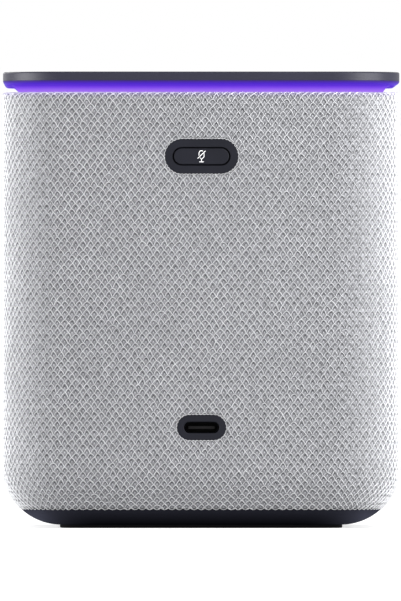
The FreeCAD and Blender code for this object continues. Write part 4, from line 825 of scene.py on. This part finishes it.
def thread_mesh(points, normals, widths):
    """A thread of triangular section along a line, with closed ends."""
    ahead = np.gradient(points, axis=0)
    side = np.cross(normals, ahead)
    side /= np.linalg.norm(side, axis=1)[:, None]
    foot = normals * THREAD_FOOT
    left, right = points + side * widths[:, None] + foot, points - side * widths[:, None] + foot
    rings = np.stack([left, points + normals * THREAD_CROWN, right], axis=1)
    start = np.arange(len(points) - 1)[:, None] * 3
    quads = [start + np.array([k, (k + 1) % 3, (k + 1) % 3 + 3, k + 3]) for k in range(3)]
    last = (len(points) - 1) * 3
    return rings.reshape(-1, 3), np.concatenate(quads), [(2, 1, 0), (last, last + 1, last + 2)]


def make_threads(direction, side_name, wander, thickness):
    """The strands that run down to one side, as a few pieces of neighbouring strands."""
    u, v, over = strand_lines(direction, wander)
    points, normals = cloth_point(u, v, over * WEAVE_HEIGHT)
    clear = np.minimum(clear_of_openings(points), np.minimum(v, THREADS_LIMIT - v))
    pieces = []
    for first in range(0, COLUMNS, STRANDS_PER_PIECE):
        all_points, all_faces, count = [], [], 0
        for strand in range(first, first + STRANDS_PER_PIECE):
            for a, b in cut_runs(clear[strand] > 0):
                widths = THREAD_HALF_WIDTH * thickness[strand, a:b]
                made, quads, caps = thread_mesh(points[strand, a:b], normals[strand, a:b], widths)
                all_points.append(made)
                all_faces += (quads + count).tolist()
                all_faces += [tuple(k + count for k in cap) for cap in caps]
                count += len(made)
        name = f"knit_threads_{side_name}_{first // STRANDS_PER_PIECE + 1}"
        whole = np.concatenate(all_points).tolist()
        pieces.append(mesh_piece(name, whole, all_faces, "case", THREAD_CLOTH))
    return pieces


def loops_along(loops):
    """Each hem point's share of the way round a closed edge, and how far it lies into its loop."""
    share = np.arange(loops * HEM_LOOP_PARTS) / (loops * HEM_LOOP_PARTS)
    return share, np.abs(np.sin(math.pi * share * loops))


def outline_points(opening, share, outward):
    """Points along an opening's outline moved outward, its outward directions and its length."""
    radius = opening["radius"]
    core_x, core_z = opening["half_width"] - radius, opening["half_height"] - radius
    quarter = radius * math.pi / 2
    lengths = np.array([2 * core_z, quarter, 2 * core_x, quarter] * 2)
    ends = np.cumsum(lengths)
    along = share * ends[-1]
    part = np.minimum(np.searchsorted(ends, along, side="right"), len(ends) - 1)
    within = along - (ends - lengths)[part]
    corner = part % 2 == 1
    angle = (part // 2) * math.pi / 2 + np.where(corner, within / radius, 0)
    out_x, out_z = np.cos(angle), np.sin(angle)
    signs_x, signs_z = np.array([1, -1, -1, 1]), np.array([1, 1, -1, -1])
    side = part // 2
    start_x = signs_x[side] * core_x
    start_z = signs_z[side] * core_z
    run = np.where(corner, 0, within - lengths[part])
    x = start_x - out_z * run + out_x * (radius + outward)
    z = start_z + out_x * run + out_z * (radius + outward)
    return x, z + opening["z"], out_x, out_z, ends[-1]


def make_opening_hem(name, opening):
    """The looped edge of the cloth round an opening."""
    length = outline_points(opening, np.zeros(1), 0.0)[4]
    share, loop = loops_along(round(length / HEM_LOOP))
    outward = HEM_RADIUS - HEM_DEPTH * (loop - HEM_INNER_SHARE)
    x, z, out_x, out_z, _ = outline_points(opening, share, outward)
    face = opening["face"]
    rise = BODY_HALF - HEM_SINK + HEM_RISE * loop
    centres = np.stack([x, rise * face, z], axis=-1)
    side = np.stack([out_x, 0 * x, out_z], axis=-1)
    normal = np.tile([0.0, float(face), 0.0], (len(x), 1))
    points, quads = closed_tube(centres, side * -face, normal, HEM_RADIUS, HEM_SIDES)
    return mesh_piece(name, points.tolist(), quads.tolist(), "case", THREAD_CLOTH)


def make_seam_hem():
    """The looped lower edge of the cloth, where it meets the base."""
    share, loop = loops_along(COLUMNS)
    u = share * COLUMNS + 0.5
    v = LAST_CROSSING - SEAM_LOOP_DEPTH * loop
    lift = -SEAM_SINK + SEAM_RISE * loop
    centres, normal = cloth_point(u, v, lift)
    above = cloth_point(u, v + 0.1 * MM, lift)[0] - centres
    side = above / np.linalg.norm(above, axis=1)[:, None]
    points, quads = closed_tube(centres, side, normal, HEM_RADIUS, HEM_SIDES)
    faces = quads.tolist()
    return mesh_piece("hem_seam", points.tolist(), faces, "case", THREAD_CLOTH)


def make_cloth():
    """The knit sleeve: its ground cloth, raised threads and looped hems."""
    draw = np.random.default_rng(RANDOM_SEED)
    rows = int(math.ceil(2 * THREADS_TOP / ROW)) + SPARE_ROWS
    wander = draw.normal(0, THREAD_WANDER, (rows, COLUMNS, 2))
    parts = (rows + 1) * STEP_PARTS
    ground = make_ground()
    extras = []
    for direction, side_name in ((1, "left"), (-1, "right")):
        coarse = draw.uniform(0.8, 1.2, (COLUMNS, rows + 1))
        thickness = np.repeat(coarse, STEP_PARTS, axis=1)[:, :parts]
        extras += make_threads(direction, side_name, wander, thickness)
    extras += [make_opening_hem(f"hem_{name}", opening) for name, opening in OPENINGS.items()]
    extras.append(make_seam_hem())
    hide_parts("fabric_sleeve")


# ------------------------------------------------------------------ cover glass


def make_glass():
    """The cover glass, a hair smaller than its seat and clear of the panel behind it."""
    seat = frame["nodes"]["cover_glass"]
    mesh = seat.data.copy()
    mesh.transform(seat.matrix_world)
    low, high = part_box("cover_glass")
    centre, half = (low + high) / 2, (high - low) / 2
    for vertex in mesh.vertices:
        place = vertex.co - centre
        vertex.co.x = centre.x + place.x * (1 - GLASS_GAP / half.x)
        vertex.co.z = centre.z + place.z * (1 - GLASS_GAP / half.z)
        if place.y > 0:
            vertex.co.y -= GLASS_GAP
    glass = bpy.data.objects.new("clear_glass", mesh)
    bpy.context.scene.collection.objects.link(glass)
    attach(glass, "case")
    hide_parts("cover_glass")


# ------------------------------------------------------------------ icon


def stroke(points, width):
    """The edges of a flat ribbon of that width along points in the icon's own plane."""
    line = np.array(points, float)
    ahead = np.gradient(line, axis=0)
    ahead /= np.linalg.norm(ahead, axis=1)[:, None]
    side = np.stack([-ahead[:, 1], ahead[:, 0]], axis=-1) * width / 2
    return np.concatenate([line + side, line - side]), len(line)


def arc(centre_x, centre_z, radius, start, end, parts=14):
    """Points of an arc, angles in degrees from the icon's right."""
    angles = np.radians(np.linspace(start, end, parts))
    return [(centre_x + radius * math.cos(a), centre_z + radius * math.sin(a)) for a in angles]


def make_icon():
    """A generic muted-microphone sign: open capsule, pointed foot, stem, bar and slash."""
    cap_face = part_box("mute_button")[1].y
    middle_z = OPENINGS["mute"]["z"]
    head, half_bar = 0.65 * MM, 0.58 * MM
    shoulder_z, waist_z, foot_z, bar_z = 0.78 * MM, -0.12 * MM, -0.72 * MM, -1.42 * MM
    capsule_end, point_end = (-head, 0.18 * MM), (-0.42 * MM, -0.36 * MM)
    slash_low, slash_high = (-1.00 * MM, -0.58 * MM), (1.02 * MM, 1.40 * MM)
    strokes = [
        [capsule_end] + arc(0, shoulder_z, head, 180, 50),
        [(head, shoulder_z), (head, waist_z), (0, foot_z), point_end],
        [(0, foot_z), (0, bar_z)],
        [(-half_bar, bar_z), (half_bar, bar_z)],
        [slash_low, slash_high],
    ]
    points, faces = [], []
    for line in strokes:
        flat, count = stroke(line, ICON_STROKE)
        base = len(points)
        for depth in (ICON_PROUD, -ICON_PROUD):
            points += [(-x, cap_face + depth, middle_z + z) for x, z in flat]
        step = 2 * count
        for k in range(count - 1):
            a, b, c, d = k, k + 1, count + k + 1, count + k
            faces.append([base + n for n in (a, b, c, d)])
            faces.append([base + step + n for n in (d, c, b, a)])
            faces.append([base + n for n in (b, a, step + a, step + b)])
            faces.append([base + n for n in (d, c, step + c, step + d)])
        for k in (0, count - 1):
            faces.append([base + n for n in (k, count + k, step + count + k, step + k)])
    icon = mesh_piece("mute_icon", points, faces, "mute_key", WHITE_INK)
    icon.data.shade_flat()


# ------------------------------------------------------------------ studio


def plain_floor():
    """A pale floor, level with the underside of the foot."""
    size = 12.0
    mesh = bpy.data.meshes.new("floor")
    corners = [(-size, -size), (size, -size), (size, size), (-size, size)]
    mesh.from_pydata([(x, y, -0.02 * MM) for x, y in corners], [], [(0, 1, 2, 3)])
    surface = Surface("floor_paint", (0.34, 0.34, 0.34), 0.9, emission_strength=0.68)
    surface.set("Emission Color", (1, 1, 1, 1))
    surface.tint(surface.noise(0.9, detail=2.0), 0.99, 1.01)
    mesh.materials.append(surface.material)
    floor = bpy.data.objects.new("floor", mesh)
    bpy.context.scene.collection.objects.link(floor)


def soft_light(name, place, size, power):
    """A square soft box aimed at the middle of the object."""
    light = bpy.data.lights.new(name, "AREA")
    light.shape = "SQUARE"
    light.size = size
    light.energy = power
    lamp = bpy.data.objects.new(name, light)
    lamp.location = place
    aim = Vector((0, 0, VIEW_CENTRE_Z)) - Vector(place)
    lamp.rotation_euler = aim.to_track_quat("-Z", "Y").to_euler()
    lamp.visible_camera = False
    bpy.context.scene.collection.objects.link(lamp)


def studio_world(strength):
    """An even white surround."""
    world = bpy.data.worlds.new("studio")
    world.use_nodes = True
    world.node_tree.nodes["Background"].inputs["Color"].default_value = (1, 1, 1, 1)
    world.node_tree.nodes["Background"].inputs["Strength"].default_value = strength
    bpy.context.scene.world = world


def make_camera():
    """A long lens level with the middle of the rear face."""
    camera_data = bpy.data.cameras.new("camera")
    camera_data.sensor_width = SENSOR
    camera_data.lens = SENSOR * CAMERA_DISTANCE / VIEW_HEIGHT
    camera_data.clip_end = 100.0
    camera = bpy.data.objects.new("camera", camera_data)
    x, y = CAMERA_DISTANCE * math.sin(CAMERA_YAW), CAMERA_DISTANCE * math.cos(CAMERA_YAW)
    camera.location = (x, y, VIEW_CENTRE_Z)
    aim = Vector((-x, -y, 0))
    camera.rotation_euler = aim.to_track_quat("-Z", "Y").to_euler()
    bpy.context.scene.collection.objects.link(camera)
    bpy.context.scene.camera = camera


def make_studio():
    """Floor, lights, surround and camera."""
    plain_floor()
    for name, (place, size, power) in LIGHTS.items():
        soft_light(name, place, size, power)
    studio_world(1.0)
    make_camera()
    bpy.context.scene.view_settings.view_transform = "Standard"


dress_cad_nodes()
make_cloth()
make_glass()
make_icon()
make_studio()
